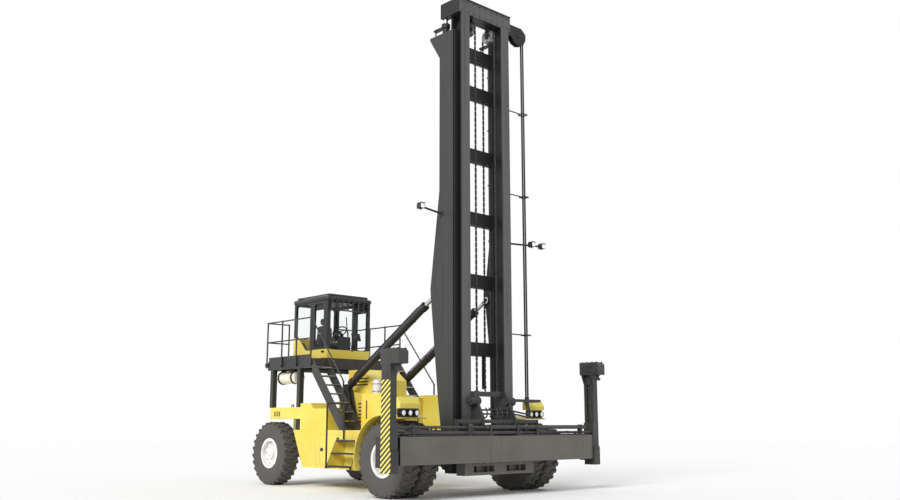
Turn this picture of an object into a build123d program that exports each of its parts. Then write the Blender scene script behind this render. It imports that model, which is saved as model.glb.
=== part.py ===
"""Empty container handler: a lift mast with a side spreader on a rear-steered chassis.

Millimetres. +X is the machine's left, the mast looks towards -Y and +Z is up. Places along Y are
measured from the front axle; save() moves every piece so that the origin lies on the ground under
the middle of the machine.
"""
import os
from math import cos, pi, radians, sin
from build123d import *

# Overall lengths
FRONT_OVERHANG = 1450
WHEELBASE = 5200
REAR_OVERHANG = 850
MACHINE_SHIFT = FRONT_OVERHANG - (FRONT_OVERHANG + WHEELBASE + REAR_OVERHANG) / 2
TAIL_Y = WHEELBASE + REAR_OVERHANG

# Clearances
SEAT_GAP = 0.3
RUN_GAP = 5
WELD_LAP = 20

# Tyres and rims
TYRE_RADIUS = 745
TYRE_WIDTH = 430
TREAD_WIDTH = 380
SHOULDER_DROP = 38
BEAD_WIDTH = 330
BEAD_HEIGHT = 44
RIM_SEAT_RADIUS = 318
RIM_FLANGE_RADIUS = 356
RIM_FLANGE = 20
RIM_WALL = 24
FRONT_OUTER_TRACK = 2040
FRONT_INNER_TRACK = 1560
REAR_TRACK = 1360
DISC_PLATE = 26
HAND_HOLES = 10
HAND_HOLE_CIRCLE = 258
HAND_HOLE_RADIUS = 24
FRONT_HUB_RADIUS = 190
FRONT_SPINDLE_RADIUS = 120
REAR_HUB_RADIUS = 120
REAR_SPINDLE_RADIUS = 60

# Drive axle and steer axle
AXLE_TUBE_RADIUS = 160
AXLE_TUBE_END = 1300
DIFFERENTIAL_RADIUS = 255
KINGPIN_X = 1050
KINGPIN_RADIUS = 42
KINGPIN_BOSS_RADIUS = 88
STEER_BEAM_LOW = 640
STEER_BEAM_HIGH = 850
STEER_BEAM_DEPTH = 240
KNUCKLE_EAR = 62
KNUCKLE_BACK = 105
KNUCKLE_PLATE = 45
STEER_ARM_BACK = 190
STEER_ARM_IN = 70
STEER_ARM_PLATE = 34
STEER_BARREL_RADIUS = 60
STEER_BARREL_HALF = 330
STEER_ROD_RADIUS = 30

# Chassis
FRAME_IN = 620
FRAME_WALL = 80
FRAME_LOW = 915
DECK_Z = 1300
FRAME_FRONT = -40
SPINE_HALF = 385
HULL_OUT = 1380
HULL_LOW = 450
HULL_FRONT_TOP = 1700
HULL_FRONT_LOW = 1970
HULL_REAR_TOP = WHEELBASE - 775
HULL_REAR_LOW = WHEELBASE - 1190
TAIL_LOW = 1560
TAIL_TOP = 1830
TAIL_FRONT = WHEELBASE - 1020
TAIL_HALF = HULL_OUT - 20
TAIL_ROUND = 90
TAIL_TAPER_LONG = 550
TAIL_TAPER_WIDE = 360
TAIL_LAMP = (720, 960, 1640, 1740)
TAIL_LAMP_DEPTH = 25
LOUVRES = 3
LOUVRE_Y = WHEELBASE - 140
LOUVRE_PITCH = 100
LOUVRE_WIDTH = 60
LOUVRE_LOW = 1620
LOUVRE_HIGH = 1740
LOUVRE_DEPTH = 40
WEIGHT_TOP = 1920
WEIGHT_FRONT = WHEELBASE - 1560
WEIGHT_CHAMFER = 130
STEP_BOX_TOP = 1790
STEP_BOX_FRONT = WHEELBASE - 2070
SEAM = 10
HULL_LOW_LENGTH = HULL_REAR_LOW - HULL_FRONT_LOW
HULL_SEAMS = (HULL_FRONT_LOW + HULL_LOW_LENGTH * 0.32, HULL_FRONT_LOW + HULL_LOW_LENGTH * 0.66)
HULL_SEAM_LOW = HULL_LOW + 70
HULL_SEAM_HIGH = DECK_Z - 90
TOW_BORE_RADIUS = 32
TOW_PLATE = 60
TOW_Z = 1050
TOW_REACH = 110

# Mast pivot and tilt cylinders
PIVOT_Y = -460
PIVOT_Z = 620
PIVOT_RADIUS = 58
PIVOT_BOSS = 95
BRACKET_WALL = 60
TILT_X = 755
TILT_TOP_Y = 40
TILT_TOP_Z = 4170
TILT_FOOT_Y = WHEELBASE - 2060
TILT_FOOT_Z = 2280
TILT_BARREL_RADIUS = 85
TILT_ROD_RADIUS = 50
TILT_EYE_RADIUS = 75
TILT_EYE_WIDTH = 60
TILT_PIN_RADIUS = 36
TILT_ROD_SHOWN = 420
TILT_GLAND = 14
TILT_GLAND_LENGTH = 110

# Mast rails
INNER_TOP = 10375
OUTER_LOW = 450
OUTER_TOP = INNER_TOP - 375
OUTER_OUT = 810
OUTER_WALL = 40
OUTER_FRONT = -600
OUTER_BACK = -320
OUTER_FRONT_FLANGE = 150
OUTER_BACK_FLANGE = 220
STIFFENER = 30
INNER_LOW = 830
INNER_FRONT = -742
INNER_BACK = -400
INNER_WALL = 40
INNER_WEB_IN = 560
INNER_FLANGE_IN = 500
INNER_FRONT_OUT = 750
INNER_BACK_OUT = 740
HEAD_HEIGHT = 330
HEAD_CAP = 16
HEAD_CAP_LAP = 25
TIE_LEVELS = (3010, 4480, 5860, 7300, 8760, 9660)
TIE_HEIGHT = 290
OUTER_TIE_DEPTH = 80
OUTER_TIE_HALF = 640
INNER_TIE_DEPTH = 30
INNER_TIE_HALF = 580
FOOT_TIE_DEPTH = 30
LIFT_X = 722
LIFT_Y = -210
LIFT_BARREL_RADIUS = 75
LIFT_ROD_RADIUS = 48
LIFT_BARREL_LOW = 1150
LIFT_BARREL_TOP = INNER_TOP - 130
LIFT_GLAND_RADIUS = 98
LIFT_GLAND = 90
LIFT_PORT = 45
LIFT_PORT_BACK = 150
LIFT_BARREL_FLOOR = 120
LIFT_FOOT = 70
ROLLER_Z = 700
ROLLER_ARM = (590, 634)
SHEAVE_PIN = 40
HOSE_SHEAVE_PIN = 30
SHEAVE_CHEEK = 15
SHEAVE_X = 300
SHEAVE_RADIUS = 165
SHEAVE_Y = -530
SHEAVE_Z = INNER_TOP - 225
SHEAVE_WIDTH = 90
CHAIN_THICK = 26
CHAIN_WIDTH = 60
CHAIN_TAIL_Z = 2250
HOSE_SHEAVE_X = 1370
HOSE_SHEAVE_Y = -430
HOSE_SHEAVE_Z = INNER_TOP + 130
HOSE_SHEAVE_RADIUS = 165
HOSE_RADIUS = 20
HOSE_SPACING = 60
HOSE_END_Z = 1960

# Carriage
CARRIAGE_OUT = 490
CARRIAGE_WALL = 50
CARRIAGE_LOW = 720
CARRIAGE_TOP = 2100
CARRIAGE_BACK = -480
SLIDE_Y = -1010
SLIDE_Z = 1335
SLIDE_RADIUS = 60
SLIDE_HALF = 1150
CARRIAGE_ROLLER_LEVELS = (860, 1930)

# Spreader
POST_OUT = 3036
BEAM_HALF = POST_OUT - 256
BEAM_FRONT = -1225
BEAM_BACK = -800
BEAM_LOW = 680
BEAM_TOP = 1200
BEAM_WALL = 14
BEAM_MIDDLE_WALL = 16
LUG_X = 820
LUG_WIDTH = 80
LOW_BOX_HALF = 1000
LOW_BOX_Z = 430
POST_WIDTH = 190
POST_BACK = -920
POST_LOW = 545
SHAFT_WIDTH = 150
SHAFT_DEPTH = 265
SHAFT_GROOVE = (80, 190)
SHAFT_GROOVE_DEPTH = 50
GUSSET = 40
GUSSET_DROP = 220
PAD_PROUD = 25
PAD_TOP = 950
HEAD_WIDTH = 240
HEAD_LOW = 2530
HEAD_TOP = 2815
LOCK_X = POST_OUT - 109.5
LOCK_Y = -1340
LOCK_RADIUS = 30
LOCK_DROP = 125
ARM_WALL = 14
ARM_TAIL = 2 * POST_OUT - 632
TELESCOPE_Y = -1165
TELESCOPE_LEVELS = (1262, 1372)
TELESCOPE_RADIUS = 42
TELESCOPE_ROD = 26
TELESCOPE_LENGTH = POST_OUT + 144
TELESCOPE_GLAND = 8
TELESCOPE_GLAND_LENGTH = 90

# Platform, stairs, side steps and rails
PLATFORM_TOP = 2970
PLATFORM_DEPTH = 220
PLATFORM_HALF = HULL_OUT - 30
PLATFORM_FRONT = WHEELBASE - 1450
PLATFORM_BACK = WHEELBASE + 500
STAIR_IN = PLATFORM_HALF - 450
STAIR_PLATE = 24
STAIR_FOOT_Y = PLATFORM_FRONT - 1420
STAIR_TREADS = 7
TREAD_PLATE = 30
TREAD_DEPTH = 175
STEP_LEVELS = (550, 820, 1090)
STEP_OUTS = (HULL_OUT + 500, HULL_OUT + 360, HULL_OUT + 220)
STEP_DEPTH = 220
STEP_FRONT = 1500
STEP_BACK = 2400
RAIL_RADIUS = 17
RAIL_POST_RADIUS = 20
RAIL_LOW = 3450
RAIL_TOP = 3940

# Cab
CAB_HALF = 680
CAB_FRONT = PLATFORM_FRONT + 400
CAB_BACK = PLATFORM_BACK - 80
CAB_FLOOR = 60
CAB_WALL = 60
CAB_ROOF_LOW = 4470
CAB_ROOF = 90
B_PILLAR_Y = CAB_FRONT + 650
PILLAR_ROUND = 40
WINDOW_FRAME = 40
WINDOW_ROUND = 70
SILL_FRONT = 3250
SILL_BACK = 3600
GLASS = 12
DOOR_GAP = 6
DOOR_FRAME = 70
HINGE_LEVELS = (3300, 4200)
HINGE_KNUCKLE = 70
HINGE_RADIUS = 14

# Wheels: sizes that follow
FRONT_HUB_IN = AXLE_TUBE_END + 30
FRONT_HUB_OUT = FRONT_OUTER_TRACK + 120
REAR_HUB_IN = REAR_TRACK + 20
REAR_HUB_OUT = REAR_TRACK + 150

# Steer axle: sizes that follow
KNUCKLE_LOW = STEER_BEAM_LOW - RUN_GAP - KNUCKLE_EAR
KNUCKLE_HIGH = STEER_BEAM_HIGH + RUN_GAP + KNUCKLE_EAR
STEER_ROD_Y = WHEELBASE + STEER_ARM_BACK
STEER_ROD_Z = KNUCKLE_LOW + STEER_ARM_PLATE + RUN_GAP + STEER_ROD_RADIUS + WELD_LAP

# Steering rod with an eye at each end, and the knuckles: sizes that follow
ROD_EYE_RADIUS = 48
ROD_EYE_HALF = 38
ROD_END = KINGPIN_X - STEER_ARM_IN

# Chassis frame: sizes that follow
FRAME_OUT = FRAME_IN + FRAME_WALL
HOOD_HALF = 650
SPINE_FRONT = HULL_REAR_LOW - 300
CROSS_MEMBER = 100
ENGINE_FRONT = SPINE_FRONT - 1330
ENGINE_BACK = SPINE_FRONT - 120
CROSS_MEMBERS = (330, ENGINE_FRONT - 1130, ENGINE_FRONT - 130, SPINE_FRONT - CROSS_MEMBER)
MAST_FOOT_OUT = OUTER_OUT + STIFFENER + 40
BRACKET_IN = MAST_FOOT_OUT + RUN_GAP
CHEEK_FRONT = 500
CHEEK_BACK = 1100
TILT_CHEEK = 50
TILT_CHEEK_FRONT = TILT_FOOT_Y - 350
TILT_CHEEK_BACK = TILT_FOOT_Y + 250
TILT_PAD = 40

# Counterweight: sizes that follow
REAR_BLOCK_LOW = 700
REAR_BLOCK_DEEP = 220
TOW_HALF = 110

# Engine, its hood and the tanks: sizes that follow
ENGINE_HALF = 400
ENGINE_MOUNT = 90
ENGINE_TOP = 1950
DECK_TANK = (660, 1060, TILT_CHEEK_FRONT - 1390, TILT_CHEEK_FRONT - 540)
DECK_TANK_TOP = 2100
DECK_TANK_ROUND = 60
HOOD_FRONT = ENGINE_FRONT - 300
HOOD_FRONT_TOP = 2040
HOOD_TOP = 2250
HOOD_BACK = SPINE_FRONT - 100
HOOD_SHEET = 10
HOOD_SLOTS = ((ENGINE_FRONT + 80, ENGINE_FRONT + 480), (ENGINE_FRONT + 620, ENGINE_FRONT + 1020))
HOOD_SLOT_ROWS = (1480, 1560, 1640, 1720, 1800, 1880)
HOOD_SLOT = 32
GRILLE_HALF = 470
GRILLE_ROWS = (1400, 1475, 1550, 1625, 1700, 1775, 1850)
GRILLE_SLOT = 42
INTAKE_FRONT = ENGINE_FRONT + 140
INTAKE_BACK = HOOD_BACK - 180
INTAKE_HALF = 520
INTAKE_FRONT_TOP = 2450
INTAKE_TOP = 2700
INTAKE_ROWS = (2330, 2400, 2470)
CANISTER = (-500, ENGINE_FRONT - 30, 2060, 2440)
CANISTER_RADIUS = 115
AIR_TANK_X = 1100
AIR_TANK_Z = 2560
AIR_TANK_RADIUS = 150
STRAP = 14
STRAP_HALF = 30
HANGER_HALF = 60
JOISTS = (PLATFORM_FRONT + 1050, PLATFORM_FRONT + 1600)

# Front fenders with brackets and lamp boxes: sizes that follow
FENDER_IN = 1345
FENDER_OUT = 2265
FENDER_RADIUS = 855
FENDER_SHEET = 14
FENDER_ARM = (815, 900, 1040, 1130)
FENDER_FRONT_ANGLE = 112
FENDER_REAR_ANGLE = -16
LAMP_BOX = (1600, 2120)
LAMP_BOX_LOW = 1740
LAMP_BOX_TOP = 1950
LAMP_BOX_HALF = 90
LAMP_BACK = 24
LAMPS = 3
LAMP_Z = 1650
LAMP_RADIUS = 58
LAMP_REACH = 95

# Side steps: sizes that follow
STEP_PLATE = 24
HOOP_TOP = 1880

# Stairs from the deck to the platform: sizes that follow
STAIR_RISE = PLATFORM_TOP - DECK_Z
STAIR_SLOPE = STAIR_RISE / (PLATFORM_FRONT - STAIR_FOOT_Y)
STRINGER_RUN = 300

# Platform: sizes that follow
EDGE_BEAM = 60
DECK_PLATE = 20
LEG = 120
LEG_ROWS = (PLATFORM_FRONT + 510, PLATFORM_FRONT + 1690)

# Railings round the platform and down the stairs: sizes that follow
RAIL_X = PLATFORM_HALF + RAIL_POST_RADIUS + SEAT_GAP
RAIL_POSTS = (
    PLATFORM_FRONT + 50, PLATFORM_FRONT + 670, PLATFORM_FRONT + 1310,
    PLATFORM_BACK + RAIL_POST_RADIUS + SEAT_GAP)
RAIL_FOOT = PLATFORM_TOP - PLATFORM_DEPTH + 60
RAIL_REAR_IN = 740
HANDRAIL_FOOT = 150

# Cab: sizes that follow
ROOF_LAP = 30
ROOF_CORNER = 90
ROOF_EDGE = 35
GUARD_INSET = 80
GUARD_RISE = 40
GUARD_BARS = 8
GUARD_BAR = 30
VISOR_DROP = 260
SEAT_Y = CAB_FRONT + 840
SEAT_HALF = 250
SEAT_FOOT = 180
SEAT_CUSHION = 120
SEAT_HEIGHT = 480
SEAT_BACK_HEIGHT = 620
CONSOLE_HALF = 150
CONSOLE_Y = CAB_FRONT + 140
CONSOLE_DEPTH = 130
CONSOLE_HEIGHT = 560
COLUMN_LENGTH = 270
COLUMN_RADIUS = 35
WHEEL_RADIUS = 180
WHEEL_GRIP = 16

# Outer mast: sizes that follow
STIFFENER_BACK = (
    (1930, -100), (TILT_TOP_Z + 100, 150), (6400, -130), (OUTER_TOP - 560, -130), (OUTER_TOP - 50, 190),
    (OUTER_TOP, 190))
LIFT_CLAMPS = (LIFT_BARREL_LOW - LIFT_FOOT, (OUTER_LOW + OUTER_TOP) / 2, OUTER_TOP - 2 * LIFT_FOOT)
ARM_BASE = 16
ARM_BASE_HALF = 50
ARM_RADIUS = 22
LAMP_HALF = 60
LAMP_DEPTH = 130

# Tilt cylinders: sizes that follow
TILT_DRIFT = 8
TILT_BARREL_START = 150
TILT_ROD_START = 500
TILT_BORE_START = 260

# Inner mast, its head, rollers, sheaves and lift rods: sizes that follow
HOSE_DISC = 90
COVER_WALL = 16
COVER_GAP = HOSE_SPACING / 2 + HOSE_RADIUS + RUN_GAP
COVER_TOP = 212
COVER_SHAPE = ((90, COVER_TOP), (235, 95), (235, -40), (150, -190), (0, -235), (-150, -190), (-260, -70))

# Carriage: sizes that follow
CARRIAGE_FRONT = -1080
CARRIAGE_NOSE = 1560
CARRIAGE_BAR = 100
TOP_BAR = (-735, -600)
LUG_ROUND = 100
RAIL_BEAM_LOW = SLIDE_Z + LUG_ROUND + 15
RAIL_BEAM_TOP = RAIL_BEAM_LOW + 75
RAIL_BEAM_HALF = 45
SLIDE_PLATE = 30
SLIDE_PLATE_HALF = 65
DRUM = (390, 640, -850, 1900)
DRUM_RADIUS = 85
PIPE_LEVELS = (1640, 1720)
PIPE_RADIUS = 18
HOSE_ARM_FRONT = INNER_FRONT - 58
HOSE_ARM = 60

# Spreader beam with two cells, slide lugs and the low box: sizes that follow
LOW_BOX_FRONT = BEAM_FRONT + 150
LOW_BOX_SLOTS = ((-760, -180), (180, 760))

# Telescope cylinders on the beam: sizes that follow
SADDLES = (330 - BEAM_HALF, -1000, 400)
SADDLE = 40


def block(x0, x1, y0, y1, z0, z1):
    """A box between two corners."""
    middle = Pos((x0 + x1) / 2, (y0 + y1) / 2, (z0 + z1) / 2)
    return middle * Box(abs(x1 - x0), abs(y1 - y0), abs(z1 - z0))


def side_plate(outline, x0, x1):
    """A plate between two X places, from an outline of (y, z) points."""
    face = make_face(Polyline(*outline, close=True))
    return extrude(Plane.YZ.offset(x0) * face, amount=x1 - x0)


def level_plate(outline, z0, z1):
    """A plate between two heights, from an outline of (x, y) points."""
    return extrude(Pos(0, 0, z0) * make_face(Polyline(*outline, close=True)), amount=z1 - z0)


def cross_plate(outline, y0, y1):
    """A plate between two Y places, from an outline of (x, z) points."""
    plane = Plane(origin=(0, y0, 0), x_dir=(1, 0, 0), z_dir=(0, -1, 0))
    return extrude(plane * make_face(Polyline(*outline, close=True)), amount=y0 - y1)


def bar(start, end, radius):
    """A round bar between two points."""
    line = Vector(*end) - Vector(*start)
    plane = Plane(origin=start, z_dir=line)
    return plane * Cylinder(radius, line.length, align=(Align.CENTER, Align.CENTER, Align.MIN))


def cross_bar(x0, x1, y, z, radius):
    """A round bar along X."""
    return bar((x0, y, z), (x1, y, z), radius)


def upright(x, y, z0, z1, radius):
    """A round bar along Z."""
    return bar((x, y, z0), (x, y, z1), radius)


def ring(x0, x1, inner, outer, y=0, z=0):
    """A ring about a line along X."""
    low, high = min(x0, x1), max(x0, x1)
    around = cross_bar(low, high, y, z, outer)
    return around - cross_bar(low - 1, high + 1, y, z, inner)


def tube(start, end, inner, outer):
    """A round tube between two points."""
    return bar(start, end, outer) - bar(start, end, inner)


def posts_and_rails(feet, rails):
    """Posts from (x, y, low, rail height) rows, and rails from (start, end) rows cut to seat on the posts."""
    posts = []
    for x, y, low, rail_z in feet:
        posts.append(upright(x, y, low, rail_z + RAIL_POST_RADIUS, RAIL_POST_RADIUS))
    made = list(posts)
    for start, end in rails:
        rail = bar(start, end, RAIL_RADIUS)
        for x, y, low, rail_z in feet:
            rail -= upright(x, y, low, rail_z + 2 * RAIL_POST_RADIUS, RAIL_POST_RADIUS + SEAT_GAP)
        made.append(rail)
    return made


def flipped(piece):
    """The same piece on the machine's other side."""
    return mirror(piece, about=Plane.YZ)


def pair(piece):
    """A piece of the machine's left side, and its twin on the right."""
    return [piece, flipped(piece)]


def save(name, *pieces):
    """Write one node: all solids of the pieces, moved to the machine's own origin."""
    solids = [Pos(0, MACHINE_SHIFT, 0) * solid for piece in pieces for solid in piece.solids()]
    export_step(Compound(solids) if len(solids) > 1 else solids[0], f"parts/{name}.step")


# Wheels

def tyre(x, y):
    """A tyre as a turned ring, with its beads, round walls and tread."""
    bead = BEAD_WIDTH / 2
    tread = TREAD_WIDTH / 2
    shoulder = TYRE_RADIUS - SHOULDER_DROP
    seat = RIM_SEAT_RADIUS + SEAT_GAP
    wall_foot = RIM_SEAT_RADIUS + BEAD_HEIGHT
    wall_middle = (wall_foot + shoulder) / 2
    edges = [Line((-bead, seat), (bead, seat))]
    for side in (-1, 1):
        edges.append(Line((side * bead, seat), (side * bead, wall_foot)))
        wall = (side * TYRE_WIDTH / 2, wall_middle)
        edges.append(ThreePointArc((side * bead, wall_foot), wall, (side * tread, shoulder)))
        edges.append(Line((side * tread, shoulder), (side * (tread - SHOULDER_DROP), TYRE_RADIUS)))
    crown = tread - SHOULDER_DROP
    edges.append(Line((-crown, TYRE_RADIUS), (crown, TYRE_RADIUS)))
    section = Plane.XZ * make_face(edges)
    return Pos(x, y, TYRE_RADIUS) * revolve(section, Axis.X)


def rim(x, y, disc, hub):
    """A rim's barrel and flanges, with its disc plate at a given place."""
    half = BEAD_WIDTH / 2 + SEAT_GAP
    inside = RIM_SEAT_RADIUS - RIM_WALL
    made = ring(x - half, x + half, inside, RIM_SEAT_RADIUS, y, TYRE_RADIUS)
    for side in (-1, 1):
        edge = x + side * half
        made += ring(edge, edge + side * RIM_FLANGE, inside, RIM_FLANGE_RADIUS, y, TYRE_RADIUS)
    plate = ring(disc, disc + DISC_PLATE, hub - WELD_LAP, inside + RIM_WALL / 2, y, TYRE_RADIUS)
    for count in range(HAND_HOLES):
        angle = 2 * pi * count / HAND_HOLES
        hole = (y + HAND_HOLE_CIRCLE * cos(angle), TYRE_RADIUS + HAND_HOLE_CIRCLE * sin(angle))
        plate -= bar((disc, *hole), (disc + DISC_PLATE, *hole), HAND_HOLE_RADIUS)
    return made + plate


front_tyres = tyre(FRONT_OUTER_TRACK, 0) + tyre(FRONT_INNER_TRACK, 0)
front_hub = ring(
    FRONT_HUB_IN, FRONT_HUB_OUT, FRONT_SPINDLE_RADIUS + SEAT_GAP, FRONT_HUB_RADIUS, 0, TYRE_RADIUS)
front_hub += cross_bar(FRONT_HUB_OUT - 60, FRONT_HUB_OUT, 0, TYRE_RADIUS, FRONT_HUB_RADIUS - WELD_LAP)
front_rims = rim(FRONT_OUTER_TRACK, 0, FRONT_OUTER_TRACK - 40, FRONT_HUB_RADIUS)
front_rims += rim(FRONT_INNER_TRACK, 0, FRONT_INNER_TRACK + 20, FRONT_HUB_RADIUS)
front_rims += front_hub
rear_tyre = tyre(REAR_TRACK, WHEELBASE)
rear_rim = rim(REAR_TRACK, WHEELBASE, REAR_TRACK + 70, REAR_HUB_RADIUS)
rear_rim += ring(
    REAR_HUB_IN, REAR_HUB_OUT, REAR_SPINDLE_RADIUS + SEAT_GAP, REAR_HUB_RADIUS, WHEELBASE, TYRE_RADIUS)
rear_rim += cross_bar(REAR_HUB_OUT - 30, REAR_HUB_OUT, WHEELBASE, TYRE_RADIUS, REAR_HUB_RADIUS - WELD_LAP)

# Drive axle: differential, tapered housing and spindles

drive_axle = cross_bar(-AXLE_TUBE_END, AXLE_TUBE_END, 0, TYRE_RADIUS, AXLE_TUBE_RADIUS)
spindle_end = FRONT_HUB_OUT - 60 - RUN_GAP
drive_axle += cross_bar(-spindle_end, spindle_end, 0, TYRE_RADIUS, FRONT_SPINDLE_RADIUS)
drive_axle += Pos(0, 0, TYRE_RADIUS) * Sphere(DIFFERENTIAL_RADIUS)
for side in (-1, 1):
    pad = side * (FRAME_IN + FRAME_WALL / 2)
    drive_axle += block(pad - FRAME_WALL, pad + FRAME_WALL, -150, 150, TYRE_RADIUS, FRAME_LOW)

# Steer axle: beam, kingpin bosses, kingpins and the barrel of the steering cylinder

beam_half = STEER_BEAM_DEPTH / 2
steer_axle = level_plate(
    [(-SPINE_HALF, WHEELBASE - beam_half), (SPINE_HALF, WHEELBASE - beam_half),
     (KINGPIN_X, WHEELBASE - KINGPIN_BOSS_RADIUS), (KINGPIN_X, WHEELBASE + KINGPIN_BOSS_RADIUS),
     (SPINE_HALF, WHEELBASE + beam_half), (-SPINE_HALF, WHEELBASE + beam_half),
     (-KINGPIN_X, WHEELBASE + KINGPIN_BOSS_RADIUS), (-KINGPIN_X, WHEELBASE - KINGPIN_BOSS_RADIUS)],
    STEER_BEAM_LOW, STEER_BEAM_HIGH)
for side in (-1, 1):
    kingpin = side * KINGPIN_X
    steer_axle += upright(kingpin, WHEELBASE, STEER_BEAM_LOW, STEER_BEAM_HIGH, KINGPIN_BOSS_RADIUS)
    steer_axle += upright(kingpin, WHEELBASE, KNUCKLE_LOW, KNUCKLE_HIGH, KINGPIN_RADIUS)
steer_axle += tube(
    (-STEER_BARREL_HALF, STEER_ROD_Y, STEER_ROD_Z), (STEER_BARREL_HALF, STEER_ROD_Y, STEER_ROD_Z),
    STEER_ROD_RADIUS + SEAT_GAP, STEER_BARREL_RADIUS)
for side in (-1, 1):
    lug = side * (STEER_BARREL_HALF - 60)
    steer_axle += block(
        lug - 25, lug + 25, WHEELBASE, STEER_ROD_Y - STEER_ROD_RADIUS - WELD_LAP, STEER_BEAM_LOW,
        STEER_ROD_Z + 40)

# Steering rod with an eye at each end, and the knuckles

steer_rod = cross_bar(-ROD_END, ROD_END, STEER_ROD_Y, STEER_ROD_Z, STEER_ROD_RADIUS)
for side in (-1, 1):
    eye = (side * ROD_END, STEER_ROD_Y, STEER_ROD_Z - ROD_EYE_HALF)
    steer_rod += bar(eye, (eye[0], eye[1], STEER_ROD_Z + ROD_EYE_HALF), ROD_EYE_RADIUS)


def knuckle():
    """The left steering knuckle: two ears on the kingpin, a back plate, the spindle and its arm."""
    ear_radius = KINGPIN_BOSS_RADIUS
    back = KINGPIN_X + KNUCKLE_BACK
    made = block(
        back, back + KNUCKLE_PLATE, WHEELBASE - ear_radius, WHEELBASE + ear_radius, KNUCKLE_LOW,
        KNUCKLE_HIGH)
    for low, high in ((KNUCKLE_LOW, KNUCKLE_LOW + KNUCKLE_EAR), (KNUCKLE_HIGH - KNUCKLE_EAR, KNUCKLE_HIGH)):
        ear = upright(KINGPIN_X, WHEELBASE, low, high, ear_radius)
        ear += block(
            KINGPIN_X, back + KNUCKLE_PLATE, WHEELBASE - ear_radius, WHEELBASE + ear_radius, low, high)
        made += ear - upright(KINGPIN_X, WHEELBASE, low, high, KINGPIN_RADIUS + SEAT_GAP)
    made += cross_bar(back, REAR_HUB_OUT - 30 - RUN_GAP, WHEELBASE, TYRE_RADIUS, REAR_SPINDLE_RADIUS)
    arm_x = KINGPIN_X - STEER_ARM_IN
    arm = level_plate(
        [(KINGPIN_X - ear_radius / 2, WHEELBASE + ear_radius * 0.6),
         (KINGPIN_X + ear_radius, WHEELBASE + ear_radius * 0.5), (arm_x + 45, STEER_ROD_Y),
         (arm_x - 45, STEER_ROD_Y)], KNUCKLE_LOW, KNUCKLE_LOW + STEER_ARM_PLATE)
    arm += upright(arm_x, STEER_ROD_Y, KNUCKLE_LOW, KNUCKLE_LOW + STEER_ARM_PLATE, 45)
    return made + arm


left_knuckle = knuckle()

# Chassis frame: longerons, cross members, rear spine, mast brackets and tilt brackets

frame = None
for side in (-1, 1):
    longeron = side_plate(
        [(FRAME_FRONT, FRAME_LOW), (SPINE_FRONT, FRAME_LOW), (SPINE_FRONT, DECK_Z), (FRAME_FRONT, DECK_Z)],
        side * FRAME_IN, side * FRAME_OUT)
    frame = longeron if frame is None else frame + longeron
for y in CROSS_MEMBERS:
    frame += block(-FRAME_IN, FRAME_IN, y, y + CROSS_MEMBER, FRAME_LOW + CROSS_MEMBER / 2, DECK_Z)
spine = side_plate(
    [(SPINE_FRONT - 100, FRAME_LOW), (TAIL_Y - REAR_BLOCK_DEEP, FRAME_LOW),
     (TAIL_Y - REAR_BLOCK_DEEP, TAIL_LOW), (TAIL_FRONT, TAIL_LOW), (SPINE_FRONT - 100, DECK_Z)],
    -SPINE_HALF, SPINE_HALF)
frame += spine - block(
    -SPINE_HALF - 1, SPINE_HALF + 1, WHEELBASE - beam_half - 60, STEER_ROD_Y + STEER_BARREL_RADIUS + 60, 0,
    STEER_BEAM_HIGH)
frame -= block(
    -SPINE_HALF - 1, SPINE_HALF + 1, WHEELBASE - beam_half, WHEELBASE + beam_half, FRAME_LOW - 1, FRAME_LOW)
steer_axle += block(
    -SPINE_HALF + 60, SPINE_HALF - 60, WHEELBASE - beam_half, WHEELBASE + beam_half, STEER_BEAM_HIGH,
    FRAME_LOW)
for side in (-1, 1):
    inner = side * BRACKET_IN
    outer = side * (BRACKET_IN + BRACKET_WALL)
    cheek = side_plate(
        [(PIVOT_Y - PIVOT_BOSS, PIVOT_Z - PIVOT_BOSS), (PIVOT_Y + PIVOT_BOSS, PIVOT_Z - PIVOT_BOSS),
         (0, FRAME_LOW), (CHEEK_BACK, FRAME_LOW + CROSS_MEMBER), (CHEEK_BACK, DECK_Z),
         (FRAME_FRONT, DECK_Z), (PIVOT_Y - PIVOT_BOSS, PIVOT_Z + PIVOT_BOSS)], inner, outer)
    cheek -= cross_bar(
        side * (BRACKET_IN - 10), outer + side * 10, 0, TYRE_RADIUS, AXLE_TUBE_RADIUS + SEAT_GAP)
    frame += cheek
    frame += block(side * FRAME_IN, outer, CHEEK_FRONT, CHEEK_BACK, FRAME_LOW + CROSS_MEMBER, DECK_Z)
    frame += cross_bar(side * (OUTER_OUT + SEAT_GAP), outer, PIVOT_Y, PIVOT_Z, PIVOT_RADIUS)
    for edge in (TILT_X - TILT_EYE_WIDTH / 2 - RUN_GAP - TILT_CHEEK, TILT_X + TILT_EYE_WIDTH / 2 + RUN_GAP):
        frame += side_plate(
            [(TILT_CHEEK_FRONT, DECK_Z), (TILT_CHEEK_BACK, DECK_Z),
             (TILT_FOOT_Y + TILT_EYE_RADIUS, TILT_FOOT_Z), (TILT_FOOT_Y, TILT_FOOT_Z + TILT_EYE_RADIUS),
             (TILT_FOOT_Y - TILT_EYE_RADIUS, TILT_FOOT_Z)],
            side * edge, side * (edge + TILT_CHEEK))
    frame += block(
        side * (HOOD_HALF + RUN_GAP), side * (TILT_X + 110), TILT_CHEEK_FRONT, TILT_CHEEK_BACK, DECK_Z,
        DECK_Z + TILT_PAD)
    frame += cross_bar(
        side * (TILT_X - TILT_EYE_WIDTH / 2 - TILT_PAD), side * (TILT_X + TILT_EYE_WIDTH / 2 + TILT_PAD),
        TILT_FOOT_Y, TILT_FOOT_Z, TILT_PIN_RADIUS)

# Hull sides with slanted ends

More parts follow.
